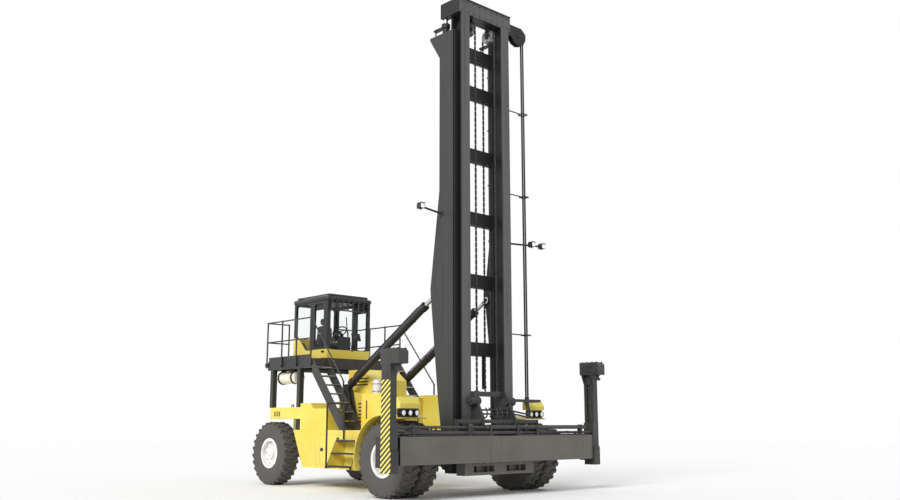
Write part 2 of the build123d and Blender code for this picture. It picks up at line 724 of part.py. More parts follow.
hull = side_plate(
    [(HULL_FRONT_TOP, DECK_Z), (HULL_FRONT_LOW, HULL_LOW), (HULL_REAR_LOW, HULL_LOW),
     (HULL_REAR_TOP, DECK_Z)], FRAME_OUT, HULL_OUT)
for y in HULL_SEAMS:
    hull -= block(HULL_OUT - SEAM, HULL_OUT, y, y + SEAM, HULL_SEAM_LOW, HULL_SEAM_HIGH)
for z in (HULL_SEAM_LOW, HULL_SEAM_HIGH):
    hull -= block(HULL_OUT - SEAM, HULL_OUT, HULL_SEAMS[0], HULL_SEAMS[1] + SEAM, z - SEAM, z)

# Counterweight: tail slab, two deck boxes in front of it, and a rear block with the tow plate

counterweight = side_plate(
    [(TAIL_FRONT, TAIL_LOW), (TAIL_Y - TAIL_ROUND, TAIL_LOW), (TAIL_Y, TAIL_LOW + TAIL_ROUND),
     (TAIL_Y, TAIL_TOP - TAIL_ROUND), (TAIL_Y - TAIL_ROUND, TAIL_TOP), (TAIL_FRONT, TAIL_TOP)],
    -TAIL_HALF, TAIL_HALF)
tail_in = TAIL_HALF - TAIL_TAPER_WIDE
taper_y = TAIL_Y - TAIL_TAPER_LONG
counterweight &= level_plate(
    [(-TAIL_HALF, TAIL_FRONT), (TAIL_HALF, TAIL_FRONT), (TAIL_HALF, taper_y), (tail_in, TAIL_Y),
     (-tail_in, TAIL_Y), (-TAIL_HALF, taper_y)], TAIL_LOW, TAIL_TOP)
for side in (-1, 1):
    for count in range(LOUVRES):
        y = LOUVRE_Y + count * LOUVRE_PITCH
        counterweight -= block(
            side * (TAIL_HALF - LOUVRE_DEPTH), side * TAIL_HALF, y, y + LOUVRE_WIDTH, LOUVRE_LOW,
            LOUVRE_HIGH)
    counterweight -= block(
        side * TAIL_LAMP[0], side * TAIL_LAMP[1], TAIL_Y - TAIL_LAMP_DEPTH, TAIL_Y, *TAIL_LAMP[2:])
deck_boxes = []
for side in (-1, 1):
    deck_boxes.append(side_plate(
        [(WEIGHT_FRONT, DECK_Z), (TAIL_FRONT - SEAT_GAP, DECK_Z), (TAIL_FRONT - SEAT_GAP, WEIGHT_TOP),
         (WEIGHT_FRONT + WEIGHT_CHAMFER, WEIGHT_TOP), (WEIGHT_FRONT, WEIGHT_TOP - WEIGHT_CHAMFER)],
        side * (FRAME_OUT + 40), side * TAIL_HALF))
    deck_boxes.append(block(
        side * STAIR_IN, side * TAIL_HALF, STEP_BOX_FRONT, WEIGHT_FRONT - SEAT_GAP, DECK_Z, STEP_BOX_TOP))
rear_block_back = TAIL_Y - TOW_REACH
rear_block = block(
    -SPINE_HALF, SPINE_HALF, TAIL_Y - REAR_BLOCK_DEEP, rear_block_back, REAR_BLOCK_LOW, TAIL_LOW - SEAT_GAP)
rear_block += block(
    -TOW_HALF, TOW_HALF, rear_block_back - WELD_LAP, TAIL_Y, TOW_Z - TOW_PLATE / 2, TOW_Z + TOW_PLATE / 2)
tow_y = TAIL_Y - TOW_REACH / 2
rear_block -= upright(0, tow_y, TOW_Z - TOW_PLATE, TOW_Z + TOW_PLATE, TOW_BORE_RADIUS)

# Engine, its hood and the tanks

engine_block = block(-ENGINE_HALF, ENGINE_HALF, ENGINE_FRONT, ENGINE_BACK, FRAME_LOW + WELD_LAP, ENGINE_TOP)
for y in (ENGINE_FRONT + 2 * ENGINE_MOUNT, ENGINE_BACK - 2 * ENGINE_MOUNT):
    engine_block += block(
        -FRAME_IN, FRAME_IN, y, y + ENGINE_MOUNT, FRAME_LOW + ENGINE_MOUNT, FRAME_LOW + 2 * ENGINE_MOUNT)


def sheet_box(outline, half):
    """A box of bent sheet across the machine, from an outline of (y, z) points."""
    face = make_face(Polyline(*outline, close=True))
    inside = offset(face, -HOOD_SHEET, kind=Kind.INTERSECTION)
    hollow = extrude(Plane.YZ.offset(HOOD_SHEET - half) * inside, amount=2 * (half - HOOD_SHEET))
    return side_plate(outline, -half, half) - hollow


hood_floor = DECK_Z - HOOD_SHEET
engine_hood = sheet_box(
    [(HOOD_FRONT, hood_floor), (HOOD_BACK, hood_floor), (HOOD_BACK, HOOD_TOP),
     (HOOD_FRONT, HOOD_FRONT_TOP)], HOOD_HALF)
engine_hood -= block(-HOOD_HALF, HOOD_HALF, HOOD_FRONT, HOOD_BACK, hood_floor, DECK_Z)
for y0, y1 in HOOD_SLOTS:
    for z in HOOD_SLOT_ROWS:
        engine_hood -= block(-HOOD_HALF, HOOD_HALF, y0, y1, z, z + HOOD_SLOT)
for z in GRILLE_ROWS:
    engine_hood -= block(-GRILLE_HALF, GRILLE_HALF, HOOD_FRONT, HOOD_FRONT + HOOD_SHEET, z, z + GRILLE_SLOT)


def hood_top(y):
    """Height of the hood's sloping top."""
    return HOOD_FRONT_TOP + (HOOD_TOP - HOOD_FRONT_TOP) * (y - HOOD_FRONT) / (HOOD_BACK - HOOD_FRONT)


intake = sheet_box(
    [(INTAKE_FRONT, hood_top(INTAKE_FRONT)), (INTAKE_BACK, hood_top(INTAKE_BACK)),
     (INTAKE_BACK, INTAKE_TOP), (INTAKE_FRONT + 350, INTAKE_TOP), (INTAKE_FRONT, INTAKE_FRONT_TOP)],
    INTAKE_HALF)
for z in INTAKE_ROWS:
    intake -= block(-INTAKE_HALF, INTAKE_HALF, INTAKE_FRONT + 150, INTAKE_BACK - 120, z, z + HOOD_SLOT)
engine_hood += Pos(0, 0, -HOOD_SHEET / 2) * intake
canister_x, canister_y, canister_low, canister_high = CANISTER
engine_hood += upright(canister_x, canister_y, canister_low, canister_high - 30, CANISTER_RADIUS)
engine_hood += upright(canister_x, canister_y, canister_low, canister_high, CANISTER_RADIUS - 30)
deck_tank = block(*DECK_TANK, DECK_Z, DECK_TANK_TOP)
deck_tank = fillet(deck_tank.edges().filter_by(Axis.Z), DECK_TANK_ROUND)
air_tank = bar(
    (AIR_TANK_X, JOISTS[0] - 150, AIR_TANK_Z), (AIR_TANK_X, JOISTS[1] + 70, AIR_TANK_Z), AIR_TANK_RADIUS)
for y in JOISTS:
    air_tank += bar(
        (AIR_TANK_X, y - STRAP_HALF, AIR_TANK_Z), (AIR_TANK_X, y + STRAP_HALF, AIR_TANK_Z),
        AIR_TANK_RADIUS + STRAP)
    air_tank += block(
        AIR_TANK_X - HANGER_HALF, AIR_TANK_X + HANGER_HALF, y - STRAP_HALF, y + STRAP_HALF, AIR_TANK_Z,
        PLATFORM_TOP - PLATFORM_DEPTH)

# Front fenders with brackets and lamp boxes


def fender():
    """A rolled sheet over the left front wheels, with its bracket and lamp box."""
    def spot(radius, angle):
        return (radius * cos(radians(angle)), TYRE_RADIUS + radius * sin(radians(angle)))
    middle = (FENDER_FRONT_ANGLE + FENDER_REAR_ANGLE) / 2
    outer = FENDER_RADIUS + FENDER_SHEET
    edges = []
    for radius in (FENDER_RADIUS, outer):
        edges.append(ThreePointArc(
            spot(radius, FENDER_REAR_ANGLE), spot(radius, middle), spot(radius, FENDER_FRONT_ANGLE)))
    for angle in (FENDER_REAR_ANGLE, FENDER_FRONT_ANGLE):
        edges.append(Line(spot(FENDER_RADIUS, angle), spot(outer, angle)))
    sheet = extrude(Plane.YZ.offset(FENDER_IN) * make_face(edges), amount=FENDER_OUT - FENDER_IN)
    sheet += block(BRACKET_IN + BRACKET_WALL, FENDER_OUT - 60, *FENDER_ARM)
    front = spot(outer, FENDER_FRONT_ANGLE)
    lamp_in, lamp_out = LAMP_BOX
    sheet += block(
        lamp_in, lamp_out, front[0] - LAMP_BACK, front[0], front[1] - FENDER_SHEET, LAMP_BOX_LOW + WELD_LAP)
    sheet += side_plate(
        [(front[0] - LAMP_BOX_HALF, LAMP_BOX_LOW), (front[0] + LAMP_BOX_HALF, LAMP_BOX_LOW),
         (front[0] + LAMP_BOX_HALF, LAMP_BOX_TOP - 40), (front[0] + LAMP_BOX_HALF - 40, LAMP_BOX_TOP),
         (front[0] - 10, LAMP_BOX_TOP), (front[0] - LAMP_BOX_HALF, LAMP_BOX_LOW + LAMP_BOX_HALF)],
        lamp_in, lamp_out)
    for count in range(LAMPS):
        lamp_x = lamp_in + (lamp_out - lamp_in) * (count + 0.5) / LAMPS
        sheet += bar((lamp_x, front[0] - LAMP_REACH, LAMP_Z), (lamp_x, front[0], LAMP_Z), LAMP_RADIUS)
    return sheet


left_fender = fender()

# Side steps: three treads between two end plates, with a grab hoop


def side_steps():
    """The left side steps, rising towards the deck."""
    low = STEP_LEVELS[0] - 60
    top = STEP_LEVELS[-1] + 10
    made = None
    for y in (STEP_FRONT, STEP_BACK - STEP_PLATE):
        end = cross_plate(
            [(HULL_OUT, low), (STEP_OUTS[0], low), (STEP_OUTS[0], STEP_LEVELS[0]),
             (STEP_OUTS[0] - 2 * RAIL_POST_RADIUS, STEP_LEVELS[0]), (STEP_OUTS[-1], top), (HULL_OUT, top)],
            y, y + STEP_PLATE)
        made = end if made is None else made + end
    for level, out in zip(STEP_LEVELS, STEP_OUTS):
        made += block(out - STEP_DEPTH, out, STEP_FRONT, STEP_BACK, level - TREAD_PLATE, level)
    hoop_y = STEP_BACK - STEP_PLATE / 2
    hoop_out = STEP_OUTS[0] - RAIL_POST_RADIUS
    hoop_in = HULL_OUT + RAIL_POST_RADIUS
    feet = [
        (hoop_out, hoop_y, STEP_LEVELS[0] + SEAT_GAP, HOOP_TOP),
        (hoop_in, hoop_y, top + SEAT_GAP, HOOP_TOP)]
    rails = [((hoop_in, hoop_y, HOOP_TOP), (hoop_out, hoop_y, HOOP_TOP))]
    return [made] + posts_and_rails(feet, rails)


left_steps = side_steps()

# Stairs from the deck to the platform

stringer_outline = [
    (STAIR_FOOT_Y, DECK_Z), (STAIR_FOOT_Y + STRINGER_RUN, DECK_Z),
    (PLATFORM_FRONT, PLATFORM_TOP - STRINGER_RUN * STAIR_SLOPE), (PLATFORM_FRONT, PLATFORM_TOP)]
stair_stringers = []
for x in (STAIR_IN, PLATFORM_HALF - STAIR_PLATE):
    stair_stringers += pair(side_plate(stringer_outline, x, x + STAIR_PLATE))
stair_treads = []
for step in range(1, STAIR_TREADS + 1):
    z = DECK_Z + STAIR_RISE * step / (STAIR_TREADS + 1)
    y = STAIR_FOOT_Y + (z - DECK_Z) / STAIR_SLOPE
    stair_treads += pair(
        block(STAIR_IN + STAIR_PLATE, PLATFORM_HALF - STAIR_PLATE, y, y + TREAD_DEPTH, z - TREAD_PLATE, z))

# Platform: deck plate, edge beams, joists and legs

platform_low = PLATFORM_TOP - PLATFORM_DEPTH
platform = block(-PLATFORM_HALF, PLATFORM_HALF, PLATFORM_FRONT, PLATFORM_BACK, platform_low, PLATFORM_TOP)
platform -= block(
    -PLATFORM_HALF + EDGE_BEAM, PLATFORM_HALF - EDGE_BEAM, PLATFORM_FRONT + EDGE_BEAM,
    PLATFORM_BACK - EDGE_BEAM, platform_low, PLATFORM_TOP - DECK_PLATE)
for y in JOISTS:
    platform += block(
        -PLATFORM_HALF, PLATFORM_HALF, y - EDGE_BEAM / 2, y + EDGE_BEAM / 2, platform_low, PLATFORM_TOP)
for y in LEG_ROWS:
    for side in (-1, 1):
        platform += block(
            side * (PLATFORM_HALF - LEG), side * PLATFORM_HALF, y, y + LEG, TAIL_TOP, platform_low)

# Railings round the platform and down the stairs


def railing():
    """The left railing: posts, and the rails between them, each rail's ends cut to seat on its posts."""
    rear = RAIL_POSTS[-1]
    foot_y = STAIR_FOOT_Y + HANDRAIL_FOOT
    foot_z = RAIL_TOP - (RAIL_POSTS[0] - foot_y) * STAIR_SLOPE
    feet = [(RAIL_REAR_IN, rear, RAIL_FOOT, RAIL_TOP), (RAIL_X, foot_y, DECK_Z, foot_z)]
    feet += [(RAIL_X, y, RAIL_FOOT, RAIL_TOP) for y in RAIL_POSTS]
    rails = [((RAIL_X, foot_y, foot_z), (RAIL_X, RAIL_POSTS[0], RAIL_TOP))]
    for z in (RAIL_LOW, RAIL_TOP):
        rails.append(((RAIL_X, RAIL_POSTS[0], z), (RAIL_X, rear, z)))
        rails.append(((RAIL_REAR_IN, rear, z), (RAIL_X, rear, z)))
    return posts_and_rails(feet, rails)


left_railing = railing()

# Cab: floor, pillars, panels, roof, guard, panes, doors, seat and console

cab_low = PLATFORM_TOP + CAB_FLOOR
pillar = CAB_WALL
cab_floor = block(-CAB_HALF, CAB_HALF, CAB_FRONT, CAB_BACK, PLATFORM_TOP, cab_low)
pillar_rows = (CAB_FRONT, B_PILLAR_Y - pillar / 2, CAB_BACK - pillar)
cab_in = CAB_HALF - pillar
cab_pillars = []
for y, corner_y in ((pillar_rows[0], CAB_FRONT), (pillar_rows[2], CAB_BACK)):
    corner = block(cab_in, CAB_HALF, y, y + pillar, cab_low, CAB_ROOF_LOW)
    outer_edge = corner.edges().filter_by(Axis.Z).sort_by_distance((CAB_HALF, corner_y, cab_low))[0]
    cab_pillars += pair(fillet(outer_edge, PILLAR_ROUND))
hinge_pillar = block(cab_in, CAB_HALF, pillar_rows[1], pillar_rows[1] + pillar, cab_low, CAB_ROOF_LOW)
rear_window_front = pillar_rows[1] + pillar
pane_y = (pillar - GLASS) / 2
cab_panels = []
cab_glass = []


def window_block(axis, *corners):
    """A block with its corners rounded about an axis: the cut for a window, or its pane."""
    return fillet(block(*corners).edges().filter_by(axis), WINDOW_ROUND)


window_half = cab_in - WINDOW_FRAME
window_top = CAB_ROOF_LOW - WINDOW_FRAME
for front, sill in ((CAB_FRONT, SILL_FRONT), (CAB_BACK - pillar, SILL_BACK)):
    wall = block(-cab_in, cab_in, front, front + pillar, cab_low, CAB_ROOF_LOW)
    cab_panels.append(
        wall - window_block(Axis.Y, -window_half, window_half, front, front + pillar, sill, window_top))
    pane = (front + pane_y, front + pane_y + GLASS)
    cab_glass.append(window_block(Axis.Y, -window_half, window_half, *pane, sill, window_top))


def quarter_window(x0, x1):
    """The left rear side window between two X places, its sill sweeping up towards the back."""
    y0 = rear_window_front + WINDOW_FRAME
    y1 = pillar_rows[2] - WINDOW_FRAME
    middle = (y0 + y1) / 2
    edges = [
        Bezier((y0, SILL_FRONT), (middle, SILL_FRONT), (middle, SILL_BACK), (y1, SILL_BACK)),
        Line((y1, SILL_BACK), (y1, window_top)), Line((y1, window_top), (y0, window_top)),
        Line((y0, window_top), (y0, SILL_FRONT))]
    made = extrude(Plane.YZ.offset(x0) * make_face(edges), amount=x1 - x0)
    return fillet(made.edges().filter_by(Axis.X).sort_by(Axis.Z)[-2:], WINDOW_ROUND)


quarter = block(cab_in, CAB_HALF, rear_window_front, pillar_rows[2], cab_low, CAB_ROOF_LOW)
cab_panels += pair(quarter - quarter_window(cab_in, CAB_HALF))
cab_glass += pair(quarter_window(cab_in + pane_y, cab_in + pane_y + GLASS))
roof_top = CAB_ROOF_LOW + CAB_ROOF
cab_roof = block(
    -CAB_HALF - ROOF_LAP, CAB_HALF + ROOF_LAP, CAB_FRONT - ROOF_LAP, CAB_BACK + ROOF_LAP, CAB_ROOF_LOW,
    roof_top)
cab_roof = fillet(cab_roof.edges().filter_by(Axis.Z), ROOF_CORNER)
cab_roof = fillet(cab_roof.faces().sort_by(Axis.Z)[-1].edges(), ROOF_EDGE)
guard_low = roof_top + GUARD_RISE
guard_half = CAB_HALF - GUARD_INSET
guard_front = CAB_FRONT + GUARD_RISE
guard_back = CAB_BACK - GUARD_RISE
visor_y = CAB_FRONT - ROOF_LAP - GUARD_BAR + 10
cab_guard = None
for y in (guard_front, guard_back - GUARD_BAR):
    rail_piece = block(-guard_half, guard_half, y, y + GUARD_BAR, roof_top, guard_low + GUARD_BAR)
    cab_guard = rail_piece if cab_guard is None else cab_guard + rail_piece
for step in range(GUARD_BARS):
    x = -guard_half + step * (2 * guard_half - GUARD_BAR) / (GUARD_BARS - 1)
    cab_guard += block(x, x + GUARD_BAR, guard_front, guard_back, guard_low, guard_low + GUARD_BAR)
    cab_guard += block(
        x, x + GUARD_BAR, visor_y, visor_y + GUARD_BAR, CAB_ROOF_LOW - VISOR_DROP,
        CAB_ROOF_LOW + CAB_ROOF / 2)
cab_guard += block(
    -guard_half, guard_half, visor_y, visor_y + GUARD_BAR, CAB_ROOF_LOW - VISOR_DROP,
    CAB_ROOF_LOW - VISOR_DROP + GUARD_BAR)
door_front = CAB_FRONT + pillar + DOOR_GAP
door_back = pillar_rows[1] - DOOR_GAP
door_low = cab_low + DOOR_GAP
door_top = CAB_ROOF_LOW - DOOR_GAP
window_low = SILL_FRONT + 30
window = (door_front + DOOR_FRAME, door_back - DOOR_FRAME, window_low, door_top - DOOR_FRAME)
left_door = block(cab_in, CAB_HALF, door_front, door_back, door_low, door_top)
left_door -= window_block(Axis.X, cab_in, CAB_HALF, *window)
left_door_glass = window_block(Axis.X, cab_in + pane_y, cab_in + pane_y + GLASS, *window)
hinge_y = pillar_rows[1] - DOOR_GAP / 2
for z in HINGE_LEVELS:
    pillar_knuckle = upright(CAB_HALF, hinge_y, z - HINGE_KNUCKLE, z, HINGE_RADIUS)
    door_knuckle = upright(CAB_HALF, hinge_y, z + SEAT_GAP, z + HINGE_KNUCKLE, HINGE_RADIUS)
    door_notch = upright(
        CAB_HALF, hinge_y, z - HINGE_KNUCKLE - RUN_GAP, z + SEAT_GAP, HINGE_RADIUS + RUN_GAP)
    pillar_notch = upright(CAB_HALF, hinge_y, z, z + HINGE_KNUCKLE + RUN_GAP, HINGE_RADIUS + RUN_GAP)
    left_door = left_door - door_notch + door_knuckle
    hinge_pillar = hinge_pillar - pillar_notch + pillar_knuckle
cab_pillars += pair(hinge_pillar)
seat_top = cab_low + SEAT_HEIGHT
cab_seat = block(
    -SEAT_FOOT, SEAT_FOOT, SEAT_Y - SEAT_FOOT, SEAT_Y + SEAT_FOOT, cab_low, seat_top - SEAT_CUSHION)
cushion = block(
    -SEAT_HALF, SEAT_HALF, SEAT_Y - SEAT_HALF, SEAT_Y + SEAT_HALF, seat_top - SEAT_CUSHION, seat_top)
cab_seat += fillet(cushion.edges().filter_by(Axis.Z), SEAT_CUSHION / 2)
seat_back = SEAT_Y + SEAT_HALF + WELD_LAP
cab_seat += block(
    -SEAT_HALF, SEAT_HALF, seat_back - SEAT_CUSHION, seat_back, seat_top, seat_top + SEAT_BACK_HEIGHT)
cab_console = block(
    -CONSOLE_HALF, CONSOLE_HALF, CONSOLE_Y, CONSOLE_Y + CONSOLE_DEPTH, cab_low,
    cab_low + CONSOLE_HEIGHT)
column_foot = Vector(0, CONSOLE_Y + 90, cab_low + CONSOLE_HEIGHT - 60)
column_way = Vector(0, 24, 30).normalized()
column_end = column_foot + column_way * COLUMN_LENGTH
steering = Plane(origin=column_end, x_dir=(1, 0, 0), z_dir=column_way)
cab_console += bar(tuple(column_foot), tuple(column_end), COLUMN_RADIUS)
cab_console += steering * Torus(WHEEL_RADIUS, WHEEL_GRIP)
for angle in (0, 120, 240):
    spoke = Vector(WHEEL_RADIUS * sin(radians(angle)), WHEEL_RADIUS * cos(radians(angle)), 0)
    cab_console += steering * bar((0, 0, 0), tuple(spoke), WHEEL_GRIP - 4)

# Outer mast

outer_in = OUTER_OUT - OUTER_WALL
outer_section = [
    (OUTER_OUT, OUTER_FRONT), (OUTER_OUT, OUTER_BACK), (OUTER_OUT - OUTER_BACK_FLANGE, OUTER_BACK),
    (OUTER_OUT - OUTER_BACK_FLANGE, OUTER_BACK - OUTER_WALL), (outer_in, OUTER_BACK - OUTER_WALL),
    (outer_in, OUTER_FRONT + OUTER_WALL), (OUTER_OUT - OUTER_FRONT_FLANGE, OUTER_FRONT + OUTER_WALL),
    (OUTER_OUT - OUTER_FRONT_FLANGE, OUTER_FRONT)]
outer_rail = level_plate(outer_section, OUTER_LOW, OUTER_TOP)
stiffener_outline = [(OUTER_FRONT + 40, OUTER_LOW), (OUTER_BACK, OUTER_LOW)]
stiffener_outline += [(y, z) for z, y in STIFFENER_BACK]
stiffener_outline += [(OUTER_BACK, OUTER_TOP), (OUTER_FRONT + 40, OUTER_TOP)]
stiffener = side_plate(stiffener_outline, OUTER_OUT, OUTER_OUT + STIFFENER)
stiffener += cross_bar(OUTER_OUT, MAST_FOOT_OUT, PIVOT_Y, PIVOT_Z, PIVOT_BOSS)
stiffener -= cross_bar(OUTER_OUT, MAST_FOOT_OUT, PIVOT_Y, PIVOT_Z, PIVOT_RADIUS + SEAT_GAP)
stiffener += cross_bar(
    TILT_X - TILT_EYE_WIDTH / 2 - 15, OUTER_OUT + STIFFENER, TILT_TOP_Y, TILT_TOP_Z, TILT_PIN_RADIUS)
outer_ties = []
for z in TIE_LEVELS:
    outer_ties.append(block(
        -OUTER_TIE_HALF, OUTER_TIE_HALF, OUTER_BACK, OUTER_BACK + OUTER_TIE_DEPTH, z - TIE_HEIGHT / 2,
        z + TIE_HEIGHT / 2))
outer_ties.append(block(
    -OUTER_TIE_HALF, OUTER_TIE_HALF, OUTER_BACK, OUTER_BACK + FOOT_TIE_DEPTH, OUTER_LOW, OUTER_LOW + 250))
lift_barrel = tube(
    (LIFT_X, LIFT_Y, LIFT_BARREL_LOW), (LIFT_X, LIFT_Y, LIFT_BARREL_TOP), LIFT_ROD_RADIUS + SEAT_GAP,
    LIFT_BARREL_RADIUS)
lift_barrel += upright(
    LIFT_X, LIFT_Y, LIFT_BARREL_LOW, LIFT_BARREL_LOW + LIFT_BARREL_FLOOR, LIFT_BARREL_RADIUS)
gland = upright(LIFT_X, LIFT_Y, LIFT_BARREL_TOP - LIFT_GLAND, LIFT_BARREL_TOP, LIFT_GLAND_RADIUS)
gland += block(
    LIFT_X - LIFT_PORT, LIFT_X + LIFT_PORT, LIFT_Y, LIFT_PORT_BACK, LIFT_BARREL_TOP - LIFT_GLAND + 10,
    LIFT_BARREL_TOP - LIFT_GLAND + 10 + LIFT_PORT)
lift_barrel += gland - upright(
    LIFT_X, LIFT_Y, LIFT_BARREL_TOP - LIFT_GLAND, LIFT_BARREL_TOP, LIFT_ROD_RADIUS + SEAT_GAP)
for z in LIFT_CLAMPS:
    clamp = block(LIFT_X - LIFT_FOOT, LIFT_X + LIFT_FOOT, OUTER_BACK, LIFT_Y, z, z + LIFT_FOOT)
    if z > LIFT_BARREL_LOW:
        clamp -= upright(LIFT_X, LIFT_Y, z, z + LIFT_FOOT, LIFT_ROD_RADIUS + SEAT_GAP)
    lift_barrel += clamp
mast_side = OUTER_OUT + STIFFENER
lamp_arms = []
for side, foot, tip, lamp_places in (
        (-1, (-200, 5880), (1450, 5950), (1450,)), (1, (-250, 5470), (2300, 5560), (1950, 2300))):
    foot_y, foot_z = foot
    tip_x, tip_z = tip
    arm = block(
        side * mast_side, side * (mast_side + ARM_BASE), foot_y - ARM_BASE_HALF, foot_y + ARM_BASE_HALF,
        foot_z - ARM_BASE_HALF, foot_z + ARM_BASE_HALF)
    arm += bar(
        (side * (mast_side + ARM_BASE / 2), foot_y, foot_z), (side * tip_x, foot_y, tip_z), ARM_RADIUS)
    for x in lamp_places:
        lamp = block(
            x - LAMP_HALF, x + LAMP_HALF, foot_y - LAMP_DEPTH + 40, foot_y + 40, tip_z - LAMP_HALF,
            tip_z + LAMP_HALF)
        lamp = fillet(lamp.edges().filter_by(Axis.Y), LAMP_HALF / 2)
        arm += lamp if side > 0 else flipped(lamp)
    lamp_arms.append(arm)

# Tilt cylinders

tilt_foot = Vector(TILT_X, TILT_FOOT_Y, TILT_FOOT_Z)
tilt_line = Vector(0, TILT_TOP_Y - TILT_FOOT_Y, TILT_TOP_Z - TILT_FOOT_Z)
tilt_way = tilt_line.normalized()


def along_tilt(distance):
    """A point on the left tilt cylinder's line, from its foot pin."""
    return tuple(tilt_foot + tilt_way * distance)


def tilt_eye(middle, hole):
    """An eye across the cylinder, with its hole."""
    x0 = TILT_X - TILT_EYE_WIDTH / 2
    return ring(x0, x0 + TILT_EYE_WIDTH, hole, TILT_EYE_RADIUS, middle[1], middle[2])


barrel_end = tilt_line.length - TILT_ROD_SHOWN
tilt_barrel = bar(along_tilt(TILT_BARREL_START), along_tilt(barrel_end), TILT_BARREL_RADIUS)
tilt_barrel += bar(
    along_tilt(barrel_end - TILT_GLAND_LENGTH), along_tilt(barrel_end), TILT_BARREL_RADIUS + TILT_GLAND)
tilt_barrel += bar(
    along_tilt(TILT_BARREL_START), along_tilt(TILT_BARREL_START + TILT_GLAND_LENGTH),
    TILT_BARREL_RADIUS + TILT_GLAND)
tilt_barrel -= bar(along_tilt(TILT_BORE_START), along_tilt(barrel_end), TILT_ROD_RADIUS + SEAT_GAP)
tilt_neck = bar(
    along_tilt(TILT_EYE_RADIUS - WELD_LAP), along_tilt(TILT_BARREL_START + WELD_LAP), TILT_EYE_WIDTH / 2)
tilt_barrel += tilt_neck + tilt_eye(along_tilt(0), TILT_PIN_RADIUS + SEAT_GAP)
rod_neck = tilt_line.length - TILT_EYE_RADIUS
tilt_rod = bar(along_tilt(TILT_ROD_START), along_tilt(rod_neck - 30), TILT_ROD_RADIUS)
tilt_rod += bar(along_tilt(rod_neck - 40), along_tilt(rod_neck + 12), TILT_EYE_WIDTH / 2)
tilt_rod += tilt_eye(along_tilt(tilt_line.length), TILT_PIN_RADIUS + TILT_DRIFT)

# Inner mast, its head, rollers, sheaves and lift rods

flange_back = INNER_FRONT + INNER_WALL
flange_front = INNER_BACK - INNER_WALL
web_out = INNER_WEB_IN + INNER_WALL
inner_section = [
    (INNER_FLANGE_IN, INNER_FRONT), (INNER_FRONT_OUT, INNER_FRONT), (INNER_FRONT_OUT, flange_back),
    (web_out, flange_back), (web_out, flange_front), (INNER_BACK_OUT, flange_front),
    (INNER_BACK_OUT, INNER_BACK), (INNER_FLANGE_IN, INNER_BACK), (INNER_FLANGE_IN, flange_front),
    (INNER_WEB_IN, flange_front), (INNER_WEB_IN, flange_back), (INNER_FLANGE_IN, flange_back)]
inner_rail = level_plate(inner_section, INNER_LOW, INNER_TOP)
inner_ties = []
for z in TIE_LEVELS:
    inner_ties.append(block(
        -INNER_TIE_HALF, INNER_TIE_HALF, INNER_BACK, INNER_BACK + INNER_TIE_DEPTH, z - TIE_HEIGHT / 2,
        z + TIE_HEIGHT / 2))
head_top = INNER_TOP + HEAD_HEIGHT
ear_back = LIFT_Y + 80
inner_head = block(-OUTER_OUT, OUTER_OUT, INNER_FRONT, INNER_BACK, INNER_TOP, head_top)
inner_head += block(
    -OUTER_OUT, OUTER_OUT, INNER_FRONT - HEAD_CAP_LAP, ear_back, head_top, head_top + HEAD_CAP)
for side in (-1, 1):
    inner_head += block(side * (LIFT_X - 75), side * OUTER_OUT, INNER_BACK, ear_back, INNER_TOP, head_top)
    for edge in (SHEAVE_X - SHEAVE_WIDTH / 2 - 20, SHEAVE_X + SHEAVE_WIDTH / 2 + RUN_GAP):
        inner_head += block(
            side * edge, side * (edge + SHEAVE_CHEEK), SHEAVE_Y - SHEAVE_PIN, SHEAVE_Y + SHEAVE_PIN,
            SHEAVE_Z - 60, INNER_TOP)
    inner_head += cross_bar(
        side * (SHEAVE_X - SHEAVE_WIDTH / 2 - 20), side * (SHEAVE_X + SHEAVE_WIDTH / 2 + SHEAVE_CHEEK),
        SHEAVE_Y, SHEAVE_Z, SHEAVE_PIN)
cover = [(OUTER_OUT - WELD_LAP, HOSE_SHEAVE_Z + COVER_TOP)]
cover += [(HOSE_SHEAVE_X + x, HOSE_SHEAVE_Z + z) for x, z in COVER_SHAPE]
cover.append((OUTER_OUT - WELD_LAP, HOSE_SHEAVE_Z - 70))
for low, high in ((-COVER_GAP - COVER_WALL, -COVER_GAP), (COVER_GAP, COVER_GAP + COVER_WALL)):
    inner_head += cross_plate(cover, HOSE_SHEAVE_Y + low, HOSE_SHEAVE_Y + high)
cover_y = (HOSE_SHEAVE_Y - COVER_GAP - COVER_WALL, HOSE_SHEAVE_Y + COVER_GAP + COVER_WALL)
inner_head += cross_plate(
    [(OUTER_OUT - WELD_LAP, HOSE_SHEAVE_Z + COVER_TOP), (HOSE_SHEAVE_X + 90, HOSE_SHEAVE_Z + COVER_TOP),
     (HOSE_SHEAVE_X + 235, HOSE_SHEAVE_Z + 95), (HOSE_SHEAVE_X + 235 - COVER_WALL, HOSE_SHEAVE_Z + 88),
     (HOSE_SHEAVE_X + 84, HOSE_SHEAVE_Z + COVER_TOP - COVER_WALL),
     (OUTER_OUT - WELD_LAP, HOSE_SHEAVE_Z + COVER_TOP - COVER_WALL)], *cover_y)
inner_head += bar(
    (HOSE_SHEAVE_X, cover_y[0], HOSE_SHEAVE_Z), (HOSE_SHEAVE_X, cover_y[1], HOSE_SHEAVE_Z), HOSE_SHEAVE_PIN)
sheaves = []
for side in (-1, 1):
    x = side * SHEAVE_X
    sheaves.append(ring(
        x - SHEAVE_WIDTH / 2, x + SHEAVE_WIDTH / 2, SHEAVE_PIN + SEAT_GAP, SHEAVE_RADIUS, SHEAVE_Y,
        SHEAVE_Z))
hose_groove = HOSE_SHEAVE_RADIUS - HOSE_RADIUS - SEAT_GAP
